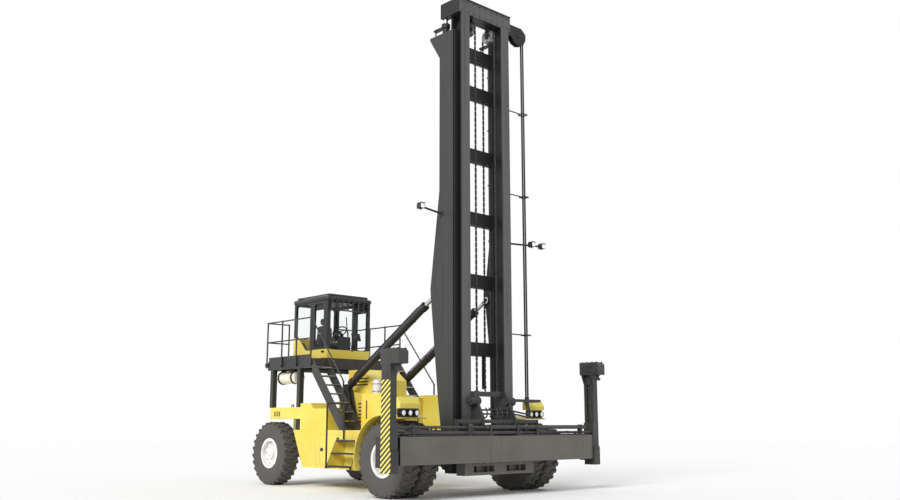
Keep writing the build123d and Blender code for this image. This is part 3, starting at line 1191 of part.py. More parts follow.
sheaves.append(tube(
    (HOSE_SHEAVE_X, HOSE_SHEAVE_Y - HOSE_DISC / 2, HOSE_SHEAVE_Z),
    (HOSE_SHEAVE_X, HOSE_SHEAVE_Y + HOSE_DISC / 2, HOSE_SHEAVE_Z), HOSE_SHEAVE_PIN + SEAT_GAP, hose_groove))
lift_rod = upright(LIFT_X, LIFT_Y, LIFT_BARREL_LOW + LIFT_BARREL_FLOOR + 20, INNER_TOP, LIFT_ROD_RADIUS)
outer_channel = (OUTER_FRONT + OUTER_BACK) / 2
roller_radius = (OUTER_BACK - OUTER_FRONT) / 2 - OUTER_WALL - SEAT_GAP
mast_roller = block(*ROLLER_ARM, outer_channel - 60, outer_channel + 40, ROLLER_Z - 100, INNER_LOW)
mast_roller += cross_bar(ROLLER_ARM[1], outer_in - RUN_GAP, outer_channel, ROLLER_Z, roller_radius)

# Lift chains and hoses: what rides over the sheaves, and the falls down to the carriage

chain_in = SHEAVE_RADIUS + SEAT_GAP
chain_out = chain_in + CHAIN_THICK
chain_x = (SHEAVE_X - CHAIN_WIDTH / 2, SHEAVE_X + CHAIN_WIDTH / 2)
chain_top = ring(*chain_x, chain_in, chain_out, SHEAVE_Y, SHEAVE_Z)
chain_top -= block(
    0, 2 * SHEAVE_X, SHEAVE_Y - 2 * chain_out, SHEAVE_Y + 2 * chain_out, SHEAVE_Z - 2 * chain_out, SHEAVE_Z)
chain_top += block(*chain_x, SHEAVE_Y + chain_in, SHEAVE_Y + chain_out, CHAIN_TAIL_Z, SHEAVE_Z)
chain_fall = block(*chain_x, SHEAVE_Y - chain_out, SHEAVE_Y - chain_in, CARRIAGE_TOP, SHEAVE_Z)
hose_x = HOSE_SHEAVE_X + HOSE_SHEAVE_RADIUS
hose_tops = []
hose_falls = []
for side in (-1, 1):
    y = HOSE_SHEAVE_Y + side * HOSE_SPACING / 2
    high = HOSE_SHEAVE_Z + HOSE_SHEAVE_RADIUS
    section = Plane(origin=(HOSE_SHEAVE_X, y, high), z_dir=(1, 0, 0)) * Circle(HOSE_RADIUS)
    bend = revolve(section, Axis((HOSE_SHEAVE_X, y, HOSE_SHEAVE_Z), (0, 1, 0)), 90)
    hose_tops.append(bend + cross_bar(OUTER_OUT, HOSE_SHEAVE_X, y, high, HOSE_RADIUS))
    hose_falls.append(upright(hose_x, y, HOSE_END_Z, HOSE_SHEAVE_Z, HOSE_RADIUS))

# Carriage

carriage_in = CARRIAGE_OUT - CARRIAGE_WALL
carriage_low_front = BEAM_BACK + 2 * RUN_GAP
carriage_mid = BEAM_TOP + 30
carriage_outline = [
    (carriage_low_front, CARRIAGE_LOW), (CARRIAGE_BACK, CARRIAGE_LOW), (CARRIAGE_BACK, CARRIAGE_TOP),
    (carriage_low_front, CARRIAGE_TOP), (CARRIAGE_FRONT, CARRIAGE_NOSE), (CARRIAGE_FRONT, carriage_mid),
    (carriage_low_front, carriage_mid)]
carriage = None
for side in (-1, 1):
    plate = side_plate(carriage_outline, side * carriage_in, side * CARRIAGE_OUT)
    carriage = plate if carriage is None else carriage + plate
carriage += block(-CARRIAGE_OUT, CARRIAGE_OUT, *TOP_BAR, CARRIAGE_TOP - CARRIAGE_BAR, CARRIAGE_TOP)
carriage += block(
    -CARRIAGE_OUT, CARRIAGE_OUT, carriage_low_front, carriage_low_front + CARRIAGE_BAR, CARRIAGE_LOW,
    CARRIAGE_LOW + CARRIAGE_BAR)
carriage += cross_bar(-SLIDE_HALF, SLIDE_HALF, SLIDE_Y, SLIDE_Z, SLIDE_RADIUS)
carriage += block(
    -SLIDE_HALF - SLIDE_PLATE, SLIDE_HALF + SLIDE_PLATE, SLIDE_Y - RAIL_BEAM_HALF, SLIDE_Y + RAIL_BEAM_HALF,
    RAIL_BEAM_LOW, RAIL_BEAM_TOP)
for side in (-1, 1):
    carriage += block(
        side * SLIDE_HALF, side * (SLIDE_HALF + SLIDE_PLATE), SLIDE_Y - SLIDE_PLATE_HALF,
        SLIDE_Y + SLIDE_PLATE_HALF, SLIDE_Z - SLIDE_PLATE_HALF, RAIL_BEAM_TOP)
drum_in, drum_out, drum_y, drum_z = DRUM
for side in (-1, 1):
    carriage += cross_bar(side * drum_in, side * drum_out, drum_y, drum_z, DRUM_RADIUS)
    carriage += block(side * drum_in, side * drum_out, drum_y, INNER_FRONT - 15, drum_z - 60, drum_z + 60)
for z in PIPE_LEVELS:
    carriage += cross_bar(-carriage_in, carriage_in, carriage_low_front - 40, z, PIPE_RADIUS)
carriage += block(
    CARRIAGE_OUT, hose_x + 40, HOSE_ARM_FRONT, INNER_FRONT - 13, HOSE_END_Z - HOSE_ARM, HOSE_END_Z)
carriage += block(
    hose_x - 45, hose_x + 40, HOSE_ARM_FRONT, HOSE_SHEAVE_Y + HOSE_ARM, HOSE_END_Z - HOSE_ARM,
    HOSE_END_Z)
carriage_roller_radius = (INNER_BACK - INNER_FRONT) / 2 - INNER_WALL - SEAT_GAP
carriage_roller_y = (INNER_BACK + INNER_FRONT) / 2
carriage_rollers = []
for z in CARRIAGE_ROLLER_LEVELS:
    roller = cross_bar(CARRIAGE_OUT, CARRIAGE_OUT + 15, carriage_roller_y, z, 60)
    roller += cross_bar(
        CARRIAGE_OUT + 15, INNER_WEB_IN - RUN_GAP, carriage_roller_y, z, carriage_roller_radius)
    carriage_rollers += pair(roller)

# Spreader beam with two cells, slide lugs and the low box

beam_middle = (BEAM_FRONT + BEAM_BACK) / 2
front_cell = (BEAM_FRONT + BEAM_WALL, beam_middle - BEAM_MIDDLE_WALL / 2)
rear_cell = (beam_middle + BEAM_MIDDLE_WALL / 2, BEAM_BACK - BEAM_WALL)
cell_low = BEAM_LOW + BEAM_WALL
cell_top = BEAM_TOP - BEAM_WALL
spreader_beam = block(-BEAM_HALF, BEAM_HALF, BEAM_FRONT, BEAM_BACK, BEAM_LOW, BEAM_TOP)
for cell in (front_cell, rear_cell):
    spreader_beam -= block(-BEAM_HALF, BEAM_HALF, *cell, cell_low, cell_top)
for side in (-1, 1):
    lug = side_plate(
        [(SLIDE_Y - LUG_ROUND, BEAM_TOP), (SLIDE_Y + LUG_ROUND, BEAM_TOP), (SLIDE_Y + LUG_ROUND, SLIDE_Z),
         (SLIDE_Y + LUG_ROUND / 2, SLIDE_Z + LUG_ROUND), (SLIDE_Y - LUG_ROUND / 2, SLIDE_Z + LUG_ROUND),
         (SLIDE_Y - LUG_ROUND, SLIDE_Z)], side * (LUG_X - LUG_WIDTH / 2), side * (LUG_X + LUG_WIDTH / 2))
    spreader_beam += lug - cross_bar(-SLIDE_HALF, SLIDE_HALF, SLIDE_Y, SLIDE_Z, SLIDE_RADIUS + SEAT_GAP)
spreader_beam += block(-LOW_BOX_HALF, LOW_BOX_HALF, LOW_BOX_FRONT, BEAM_BACK - 30, LOW_BOX_Z, BEAM_LOW)
for x0, x1 in LOW_BOX_SLOTS:
    spreader_beam -= block(x0, x1, LOW_BOX_FRONT, LOW_BOX_FRONT + 120, LOW_BOX_Z + 60, BEAM_LOW - 70)

# Telescope cylinders on the beam: the lower one moves the left arm, the upper one the right arm

post_in = POST_OUT - POST_WIDTH
barrel_far = TELESCOPE_LENGTH - 540
telescope_barrels = []
telescope_rods = []
for side, z in zip((1, -1), TELESCOPE_LEVELS):
    start = (-side * barrel_far, TELESCOPE_Y, z)
    mouth = (side * (TELESCOPE_LENGTH - barrel_far), TELESCOPE_Y, z)
    rod = cross_bar(start[0] + side * 60, side * (post_in - SEAT_GAP), TELESCOPE_Y, z, TELESCOPE_ROD)
    telescope_rods.append(rod)
    telescope_barrels.append((start, mouth))
saddle_y = (TELESCOPE_Y - TELESCOPE_RADIUS - 12, TELESCOPE_Y + TELESCOPE_RADIUS + 12)
saddles = None
for place in SADDLES:
    for side in (-1, 1):
        saddle = block(
            side * place - SADDLE / 2, side * place + SADDLE / 2, *saddle_y, BEAM_TOP,
            TELESCOPE_LEVELS[1] + TELESCOPE_RADIUS + 12)
        saddles = saddle if saddles is None else saddles + saddle
for z in TELESCOPE_LEVELS:
    saddles -= cross_bar(-BEAM_HALF, BEAM_HALF, TELESCOPE_Y, z, TELESCOPE_ROD + RUN_GAP)
for start, mouth in telescope_barrels:
    way = 1 if mouth[0] > start[0] else -1
    saddles += bar(start, mouth, TELESCOPE_RADIUS)
    saddles += bar(
        (mouth[0] - way * TELESCOPE_GLAND_LENGTH, *mouth[1:]), mouth, TELESCOPE_RADIUS + TELESCOPE_GLAND)
for start, mouth in telescope_barrels:
    way = 1 if mouth[0] > start[0] else -1
    saddles -= bar((start[0] + way * 40, *start[1:]), mouth, TELESCOPE_ROD + SEAT_GAP)

# Telescopic arms with their end posts, heads and twist locks


def arm_beam(side, cell):
    """A box arm in one cell of the beam, from its end post inwards."""
    outside = (cell[0] + RUN_GAP, cell[1] - RUN_GAP)
    inside = (outside[0] + ARM_WALL, outside[1] - ARM_WALL)
    low = cell_low + SEAT_GAP
    top = cell_top - RUN_GAP
    tail = side * (post_in - ARM_TAIL)
    made = block(tail, side * post_in, *outside, low, top)
    return made - block(tail, side * post_in, *inside, low + ARM_WALL, top - ARM_WALL)


def end_post(side):
    """An end post with its foot, its overhanging head and the twist lock under it."""
    shaft_in = side * (POST_OUT - SHAFT_WIDTH)
    made = block(shaft_in, side * POST_OUT, BEAM_FRONT, BEAM_FRONT + SHAFT_DEPTH, POST_LOW, HEAD_TOP)
    groove_in = side * (POST_OUT - SHAFT_WIDTH + SHAFT_GROOVE_DEPTH)
    made -= block(
        shaft_in, groove_in, BEAM_FRONT + SHAFT_GROOVE[0], BEAM_FRONT + SHAFT_GROOVE[1], BEAM_TOP + 280,
        HEAD_LOW - GUSSET_DROP)
    made += block(
        side * post_in, side * POST_OUT, BEAM_FRONT, BEAM_BACK - BEAM_WALL, BEAM_LOW - 40, BEAM_TOP)
    made += block(side * post_in, shaft_in, BEAM_FRONT, BEAM_FRONT + SHAFT_DEPTH, POST_LOW, BEAM_TOP + 260)
    made += block(side * post_in, side * POST_OUT, BEAM_FRONT - PAD_PROUD, BEAM_FRONT, POST_LOW, PAD_TOP)
    for y in (BEAM_FRONT, BEAM_FRONT + SHAFT_DEPTH - GUSSET):
        made += cross_plate(
            [(shaft_in, HEAD_LOW), (shaft_in, HEAD_LOW - GUSSET_DROP),
             (side * (POST_OUT - HEAD_WIDTH), HEAD_LOW)], y, y + GUSSET)
    head_in = side * (POST_OUT - HEAD_WIDTH)
    made += side_plate(
        [(-FRONT_OVERHANG, HEAD_LOW), (POST_BACK, HEAD_LOW), (POST_BACK, HEAD_TOP),
         (-FRONT_OVERHANG + 60, HEAD_TOP), (-FRONT_OVERHANG, HEAD_TOP - 60)], head_in, side * POST_OUT)
    lock = side * LOCK_X
    made += upright(lock, LOCK_Y, HEAD_LOW - LOCK_DROP, HEAD_LOW, LOCK_RADIUS)
    made += block(
        lock - 52, lock + 52, LOCK_Y - 28, LOCK_Y + 28, HEAD_LOW - LOCK_DROP, HEAD_LOW - LOCK_DROP + 60)
    return made


left_arm = arm_beam(1, front_cell)
right_arm = arm_beam(-1, rear_cell)
left_post = end_post(1)
right_post = end_post(-1)

# Write every node

os.makedirs("parts", exist_ok=True)
save("chassis_frame", frame)
save("hull_sides", *pair(hull))
save("drive_axle", drive_axle)
save("steer_axle", steer_axle)
save("counterweight", counterweight, *deck_boxes, rear_block)
save("engine_block", engine_block)
save("engine_hood", engine_hood)
save("service_tanks", *pair(deck_tank), *pair(air_tank))
save("front_fenders", *pair(left_fender))
save("side_steps", *left_steps, *[flipped(piece) for piece in left_steps])
save("stair_stringers", *stair_stringers)
save("stair_treads", *stair_treads)
save("platform", platform)
save("railings", *left_railing, *[flipped(piece) for piece in left_railing])
save("cab_floor", cab_floor)
save("cab_pillars", *cab_pillars)
save("cab_panels", *cab_panels)
save("cab_glass", *cab_glass)
save("cab_roof", cab_roof + cab_guard)
save("cab_seat", cab_seat)
save("cab_console", cab_console)
for name, turn in (("left", lambda piece: piece), ("right", flipped)):
    save(f"{name}_door", turn(left_door))
    save(f"{name}_door_glass", turn(left_door_glass))
    save(f"{name}_front_tyres", turn(front_tyres))
    save(f"{name}_front_rims", turn(front_rims))
    save(f"{name}_rear_tyre", turn(rear_tyre))
    save(f"{name}_rear_rim", turn(rear_rim))
    save(f"{name}_knuckle", turn(left_knuckle))
save("steer_rod", steer_rod)
save("tilt_barrels", *pair(tilt_barrel))
save("tilt_rods", *pair(tilt_rod))
save("outer_mast_rails", *pair(outer_rail))
save("outer_mast_stiffeners", *pair(stiffener))
save("outer_mast_ties", *outer_ties)
save("lift_barrels", *pair(lift_barrel))
save("mast_lamps", *lamp_arms)
save("inner_mast_rails", *pair(inner_rail))
save("inner_mast_ties", *inner_ties)
save("inner_mast_head", inner_head)
save("mast_rollers", *pair(mast_roller), *sheaves)
save("lift_rods", *pair(lift_rod))
save("chain_hose_tops", *pair(chain_top), *hose_tops)
save("chain_hose_falls", *pair(chain_fall), *hose_falls)
save("carriage", carriage)
save("carriage_rollers", *carriage_rollers)
save("spreader_beam", spreader_beam)
save("telescope_barrels", saddles)
save("left_arm", left_arm)
save("right_arm", right_arm)
save("left_post", left_post, telescope_rods[0])
save("right_post", right_post, telescope_rods[1])
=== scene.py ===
"""Looks of the empty container handler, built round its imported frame. Metres, in the frame's own axes."""
from math import cos, pi, radians, sin
import bmesh
import bpy
from mathutils import Matrix, Vector
from mathutils.geometry import interpolate_bezier


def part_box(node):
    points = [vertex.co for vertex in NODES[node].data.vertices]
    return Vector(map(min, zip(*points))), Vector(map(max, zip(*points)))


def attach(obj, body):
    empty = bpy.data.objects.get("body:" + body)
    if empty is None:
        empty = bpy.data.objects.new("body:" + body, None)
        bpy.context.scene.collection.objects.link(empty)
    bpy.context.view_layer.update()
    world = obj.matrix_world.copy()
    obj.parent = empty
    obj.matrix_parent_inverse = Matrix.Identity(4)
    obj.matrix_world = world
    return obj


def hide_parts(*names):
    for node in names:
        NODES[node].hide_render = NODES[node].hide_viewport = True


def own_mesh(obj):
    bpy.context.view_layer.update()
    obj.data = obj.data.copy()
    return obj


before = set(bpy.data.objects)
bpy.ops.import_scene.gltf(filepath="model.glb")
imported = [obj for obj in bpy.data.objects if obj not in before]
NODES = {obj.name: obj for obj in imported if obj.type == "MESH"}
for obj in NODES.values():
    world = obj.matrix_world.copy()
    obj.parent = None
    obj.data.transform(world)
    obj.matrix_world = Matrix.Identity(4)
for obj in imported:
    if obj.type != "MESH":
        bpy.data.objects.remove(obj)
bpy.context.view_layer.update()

# Directions: left is +X, and the mast is at the front, towards -Y
SIDES = (("left", 1), ("right", -1))
ACROSS = (1, 0, 0)
AHEAD = (0, -1, 0)
ASTERN = (0, 1, 0)
UP = (0, 0, 1)

# Camera and light, taken from the photograph's own perspective
CAMERA_PLACE = (-13.850, -16.766, 1.421)
CAMERA_YAW = radians(42.91)
CAMERA_PITCH = radians(10.743)
CAMERA_LENS = 36.83
CAMERA_REACH = 300.0
SENSOR_WIDTH = 36.0
FLOOR_HALF = 60.0
SUN_STRENGTH = 2.3
SUN_SPREAD = radians(25)
SUN_FROM = (-0.86, -0.30, 0.62)
SKY_STRENGTH = 0.62

# Colours, linear
LEMON = (0.81, 0.70, 0.145)
AMBER = (0.81, 0.59, 0.065)
CHARCOAL = (0.044, 0.042, 0.039)
SOOT = (0.022, 0.022, 0.023)
DUST = (0.30, 0.26, 0.20)
RUBBER = (0.090, 0.087, 0.082)
RIM_WHITE = (0.78, 0.77, 0.74)
FLOOR_WHITE = (0.94, 0.94, 0.94)
STEEL = (0.42, 0.41, 0.40)
ROD_BRIGHT = (0.62, 0.62, 0.64)
ROD_OILED = (0.5, 0.49, 0.47)
CHAIN = (0.045, 0.043, 0.041)
BEAM_GREY = (0.128, 0.119, 0.103)
MAST_BLACK = (0.026, 0.025, 0.024)
# Painted highlights of the mast: a paler grey for its front flanges and for its outer sides
FLANGE_HIGHLIGHT_GREY = (0.105, 0.105, 0.108)
SIDE_HIGHLIGHT_GREY = (0.052, 0.051, 0.050)
PALE_TANK = (0.84, 0.82, 0.66)
HOSE = (0.018, 0.018, 0.019)
CLEAR = (0.96, 0.98, 0.98)
LENS_WHITE = (0.86, 0.88, 0.90)
LENS_RED = (0.55, 0.02, 0.015)
LENS_AMBER = (0.85, 0.28, 0.02)
CLOTH = (0.085, 0.088, 0.088)

# Share of a face's normal along an axis, from which the face counts as looking that way
LOOKS_ALONG = 0.9
LOOKS_UP = 0.7

# Places and patterns of the finishes, some of them shared with the pieces
DUST_HEIGHT = 1.6
FENDER_DUST_HEIGHT = 1.7
SILL_FRONT = 3.25
SILL_BACK = 3.60
SILL_SWEEP = (2.70, 3.10)
FLANGE_Y = -3.03
STIFFENER_SIDE = 0.835
CANISTER = (-0.5, 0.05, 2.085)
CANISTER_RADIUS = 0.125
LAMP_ROW_Y = -2.60
LAMP_ROW_LOW = 1.565
LAMP_ROW_HIGH = 1.735
STRIPE_SIDE = 3.03
STRIPE_BACK = -3.258
STRIPE_LOW = 0.53
STRIPE_TOP = 2.24
STRIPE_PITCH = 0.1
STRIPE_SLOPE = 0.8
AIR_TANK_LOW = 2.2
STRAP_PLACES = (2.5, 3.05)
STRAP_HALF = 0.031
THREADS = 1900.0
TREAD_PITCH = 0.06
TREAD_BAR_HALF = 0.009
STEP_END_IN = 1.385
STEP_END_OUT = 1.835
STEP_END_TOP = 1.1
LENS_RIBS = 700.0
LENS_ROWS = 420.0


class Value:
    """A socket of one finish; arithmetic on it adds Math nodes."""

    def __init__(self, finish, socket):
        self.finish = finish
        self.socket = socket

    def math(self, operation, left, right):
        return self.finish.node("ShaderNodeMath", {"operation": operation}, {0: left, 1: right})

    def __add__(self, other):
        return self.math("ADD", self, other)

    def __radd__(self, other):
        return self.math("ADD", other, self)

    def __sub__(self, other):
        return self.math("SUBTRACT", self, other)

    def __rsub__(self, other):
        return self.math("SUBTRACT", other, self)

    def __mul__(self, other):
        return self.math("MULTIPLY", self, other)

    def __rmul__(self, other):
        return self.math("MULTIPLY", other, self)

    def __gt__(self, other):
        return self.math("GREATER_THAN", self, other)

    def __lt__(self, other):
        return self.math("LESS_THAN", self, other)

    def __mod__(self, other):
        return self.math("FLOORED_MODULO", self, other)

    def size(self):
        return self.math("ABSOLUTE", self, 0.0)

    def wave(self):
        return self.math("SINE", self, 0.0)


class Graph:
    """A node tree, and the one way in which nodes come into it."""

    def __init__(self, owner):
        owner.use_nodes = True
        self.tree = owner.node_tree
        self.tree.nodes.clear()

    def node(self, kind, settings=None, inputs=None, output=0):
        made = self.tree.nodes.new(kind)
        for name, value in (settings or {}).items():
            setattr(made, name, value)
        for name, value in (inputs or {}).items():
            if isinstance(value, Value):
                self.tree.links.new(value.socket, made.inputs[name])
            else:
                made.inputs[name].default_value = value
        return Value(self, made.outputs[output]) if len(made.outputs) else None


class Finish(Graph):
    """One material, with short names for the nodes that every finish uses."""

    def __init__(self, name):
        self.material = bpy.data.materials.new(name)
        super().__init__(self.material)
        self.spot = self.node("ShaderNodeTexCoord", output="Object")

    def split(self, vector):
        parts = self.node("ShaderNodeSeparateXYZ", inputs={0: vector})
        return [Value(self, output) for output in parts.socket.node.outputs]

    def axes(self):
        """The X, Y and Z of the surface point."""
        return self.split(self.spot)

    def facing(self):
        """How far the surface looks along X, Y and Z."""
        return self.split(self.node("ShaderNodeNewGeometry", output="True Normal"))

    def noise(self, scale, detail=3.0, stretch=None):
        place = self.spot
        if stretch:
            place = self.node("ShaderNodeMapping", inputs={"Vector": self.spot, "Scale": stretch})
        return self.node("ShaderNodeTexNoise", inputs={"Vector": place, "Scale": scale, "Detail": detail})

    def ramp(self, value, low, high):
        """0 below low, 1 above high, smooth between."""
        return self.node(
            "ShaderNodeMapRange", {"interpolation_type": "SMOOTHSTEP"},
            {"Value": value, "From Min": low, "From Max": high})

    def patches(self, low, high, scale, detail, stretch=None):
        """Noise sharpened into patches: 0 below low, 1 above high."""
        return self.ramp(self.noise(scale, detail, stretch), low, high)

    def mix(self, share, first, second):
        """A colour between two colours."""
        first, second = [one if isinstance(one, Value) else (*one, 1.0) for one in (first, second)]
        return self.node("ShaderNodeMix", {"data_type": "RGBA"}, {0: share, 6: first, 7: second}, 2)

    def tones(self, first, second, scale=0.9, detail=3.0):
        """Two close colours in soft clouds."""
        return self.mix(self.patches(0.3, 0.7, scale, detail), first, second)

    def grain(self, amount):
        """Small swings of roughness, to both sides of nothing."""
        return (self.noise(14.0, 4.0) - 0.5) * amount

    def bump(self, height, strength, distance):
        return self.node(
            "ShaderNodeBump", inputs={"Height": height, "Strength": strength, "Distance": distance})

    def peel(self, scale=160.0, strength=0.06):
        """The orange-peel skin of sprayed paint."""
        return self.bump(self.noise(scale, 2.0), strength, 0.002)

    def surface(self, colour, **inputs):
        """The Principled shader, with a socket name for each input, and the finished material."""
        values = {"Base Color": colour if isinstance(colour, Value) else (*colour, 1.0)}
        values.update({name.replace("_", " "): value for name, value in inputs.items()})
        shader = self.node("ShaderNodeBsdfPrincipled", inputs=values)
        self.node("ShaderNodeOutputMaterial", inputs={"Surface": shader})
        return self.material


def scaled(colour, share):
    return [part * share for part in colour]


def road_dust(finish, colour, height, share):
    """Dust that thins out upwards from the ground, in patches."""
    low = 1.0 - finish.ramp(finish.axes()[2], 0.1, height)
    patches = finish.patches(0.38, 0.72, 3.0, 5.0)
    return finish.mix(low * patches * share, colour, DUST)


def paint(name, colour, second, roughness, dust=0.25, streak=0.18):
    """Sprayed paint: two close tones, rain streaks, road dust, and an orange-peel skin."""
    finish = Finish(name)
    rain = finish.patches(0.55, 0.8, 2.2, 4.0, (6.0, 6.0, 0.35))
    base = finish.mix(rain * streak, finish.tones(colour, second), scaled(colour, 0.55))
    base = road_dust(finish, base, DUST_HEIGHT, dust)
    return finish.surface(
        base, Roughness=roughness + finish.grain(0.22), Normal=finish.peel(), Specular_IOR_Level=0.45)


def yellow_paint():
    return paint("yellow_paint", LEMON, AMBER, 0.34)


def dark_paint():
    return paint("dark_paint", CHARCOAL, SOOT, 0.46, dust=0.35, streak=0.3)


def hood_paint():
    """Engine hood: yellow sheet, with the air canister in white."""
    finish = Finish("hood_paint")
    x, y, z = finish.axes()
    across, along = x - CANISTER[0], y - CANISTER[1]
    canister = ((across * across + along * along) < CANISTER_RADIUS ** 2) * (z > CANISTER[2])
    base = finish.mix(canister, finish.tones(LEMON, AMBER), RIM_WHITE)
    return finish.surface(
        base, Roughness=0.34 + finish.grain(0.22), Normal=finish.peel(), Specular_IOR_Level=0.45)


def beam_paint():
    """Spreader beam: grey enamel with rain streaks."""
    finish = Finish("beam_paint")
    rain = finish.patches(0.55, 0.8, 2.6, 4.0, (5.0, 5.0, 0.4))
    base = finish.mix(rain * 0.3, finish.tones(BEAM_GREY, scaled(BEAM_GREY, 0.8), 1.3, 4.0), SOOT)
    return finish.surface(
        base, Roughness=0.5 + finish.grain(0.2), Normal=finish.peel(150.0, 0.08), Specular_IOR_Level=0.4)


def mast_paint():
    """Mast enamel: black with grease marks along the rails, and a painted highlight of paler grey on the
    outer sides and front flanges.
    """
    finish = Finish("mast_paint")
    x, y = finish.axes()[:2]
    # Painted highlight: outer stiffener faces that look sideways get a paler grey, as a lit side
    side = (finish.facing()[0].size() > LOOKS_ALONG) * (x.size() > STIFFENER_SIDE)
    # Painted highlight: rail faces that look ahead get a paler grey, as a reflection
    flange_highlight = (y < FLANGE_Y) * (finish.facing()[1] < -LOOKS_ALONG)
    base = finish.mix(side, finish.tones(MAST_BLACK, SOOT, 1.1), SIDE_HIGHLIGHT_GREY)
    base = finish.mix(flange_highlight, base, FLANGE_HIGHLIGHT_GREY)
    grease = finish.patches(0.52, 0.75, 1.6, 4.0, (9.0, 9.0, 0.2))
    base = finish.mix(grease * 0.55, base, SOOT)
    return finish.surface(
        base, Roughness=0.44 - grease * 0.12, Normal=finish.peel(140.0), Specular_IOR_Level=0.25)


def post_paint():
    """End posts: charcoal, with slanted yellow and black bars on the outer faces up to a fixed height."""
    finish = Finish("post_paint")
    x, y, z = finish.axes()
    outer = (finish.facing()[0].size() > LOOKS_ALONG) * (x.size() > STRIPE_SIDE) * (y < STRIPE_BACK)
    band = (z > STRIPE_LOW) * (z < STRIPE_TOP) * outer
    bars = ((z + y * STRIPE_SLOPE) % STRIPE_PITCH) > STRIPE_PITCH / 2
    wear = finish.patches(0.62, 0.75, 9.0, 6.0)
    warning = finish.mix(wear * 0.3, finish.mix(bars, SOOT, LEMON), CHARCOAL)
    base = finish.mix(band, finish.tones(CHARCOAL, SOOT, 1.1), warning)
    return finish.surface(base, Roughness=0.42 + wear * 0.2, Normal=finish.peel(140.0))


def cab_paint():
    """Cab shell: yellow below the sill line, which steps up towards the back, and black above it."""
    finish = Finish("cab_paint")
    y, z = finish.axes()[1:]
    sill = SILL_FRONT + finish.ramp(y, *SILL_SWEEP) * (SILL_BACK - SILL_FRONT)
    base = finish.mix(z > sill, finish.tones(LEMON, AMBER), SOOT)
    return finish.surface(
        base, Roughness=0.34 + finish.grain(0.2), Normal=finish.peel(strength=0.05), Specular_IOR_Level=0.45)


def tank_paint():
    """Tanks: yellow below, and pale air tanks above with black straps at the platform's joists."""
    finish = Finish("tank_paint")
    y, z = finish.axes()[1:]
    air = z > AIR_TANK_LOW
    front, back = [(y - place).size() < STRAP_HALF for place in STRAP_PLACES]
    strap = (front + back) * air
    base = finish.mix(strap, finish.mix(air, finish.tones(LEMON, AMBER), PALE_TANK), SOOT)
    return finish.surface(base, Roughness=0.36 + strap * 0.3, Normal=finish.peel(strength=0.05))


def fender_paint():
    """Fenders: yellow sheet and lamp hood, with black lamp bodies under it and road dirt below."""
    finish = Finish("fender_paint")
    y, z = finish.axes()[1:]
    box = (y < LAMP_ROW_Y) * (z > LAMP_ROW_LOW) * (z < LAMP_ROW_HIGH)
    base = finish.mix(box, finish.tones(LEMON, AMBER), SOOT)
    base = road_dust(finish, base, FENDER_DUST_HEIGHT, 0.5)
    return finish.surface(base, Roughness=0.4 + finish.grain(0.3), Normal=finish.peel())


def tyre_rubber():
    finish = Finish("tyre_rubber")
    patches = finish.patches(0.42, 0.75, 4.0, 6.0)
    base = finish.mix(patches * 0.45, RUBBER, scaled(DUST, 0.35))
    return finish.surface(
        base, Roughness=0.78 + patches * 0.12, Normal=finish.bump(finish.noise(220.0), 0.25, 0.002),
        Specular_IOR_Level=0.3)


def rim_paint():
    finish = Finish("rim_paint")
    dirt = finish.patches(0.5, 0.8, 7.0, 6.0)
    base = finish.mix(dirt * 0.4, RIM_WHITE, DUST)
    return finish.surface(base, Roughness=0.42 + dirt * 0.2, Normal=finish.peel(150.0, 0.05))


def polished_rod():
    finish = Finish("polished_rod")
    oil = finish.patches(0.4, 0.8, 5.0, 4.0)
    base = finish.mix(oil, ROD_BRIGHT, ROD_OILED)
    return finish.surface(base, Roughness=0.14 + oil * 0.12, Metallic=1.0)


def bare_steel():
    finish = Finish("bare_steel")
    stain = finish.patches(0.45, 0.75, 9.0, 5.0)
    return finish.surface(
        finish.mix(stain, STEEL, CHAIN), Roughness=0.38 + stain * 0.25, Metallic=0.9,
        Normal=finish.bump(finish.noise(120.0), 0.12, 0.001))


def chain_steel():
    finish = Finish("chain_steel")
    oil = finish.patches(0.4, 0.7, 14.0, 4.0)
    return finish.surface(finish.mix(oil, CHAIN, SOOT), Roughness=0.5 - oil * 0.1, Metallic=0.4)


def hose_rubber():
    finish = Finish("hose_rubber")
    rings = finish.noise(60.0, 2.0, (1.0, 1.0, 6.0))
    return finish.surface(HOSE, Roughness=0.5 + (rings - 0.5) * 0.2, Normal=finish.bump(rings, 0.15, 0.002))


def cast_iron():
    finish = Finish("cast_iron")
    oil = finish.patches(0.45, 0.7, 4.0, 5.0)
    return finish.surface(
        finish.mix(oil, CHARCOAL, SOOT), Roughness=0.7 - oil * 0.3,
        Normal=finish.bump(finish.noise(90.0, 4.0), 0.4, 0.003))


def window_glass():
    finish = Finish("window_glass")
    film = finish.patches(0.35, 0.8, 2.5, 5.0)
    return finish.surface(
        CLEAR, Roughness=0.03 + film * 0.05, Transmission_Weight=1.0, IOR=1.12, Specular_IOR_Level=0.5)


def seat_cloth():
    """Woven seat cover: crossed threads."""
    finish = Finish("seat_cloth")
    x, y, z = finish.axes()
    weave = ((x + z) * THREADS).wave() * ((y - z) * THREADS).wave()
    base = finish.tones(CLOTH, scaled(CLOTH, 1.8), 30.0)
    return finish.surface(
        base, Roughness=0.85 + weave * 0.05, Normal=finish.bump(weave, 0.25, 0.0008), Sheen_Weight=0.3)


def cab_plastic():
    finish = Finish("cab_plastic")
    pores = finish.node("ShaderNodeTexVoronoi", inputs={"Vector": finish.spot, "Scale": 420.0})
    tone = finish.noise(5.0)
    return finish.surface(
        finish.mix(tone, SOOT, CHARCOAL), Roughness=0.52 + tone * 0.15,
        Normal=finish.bump(pores, 0.2, 0.0006))


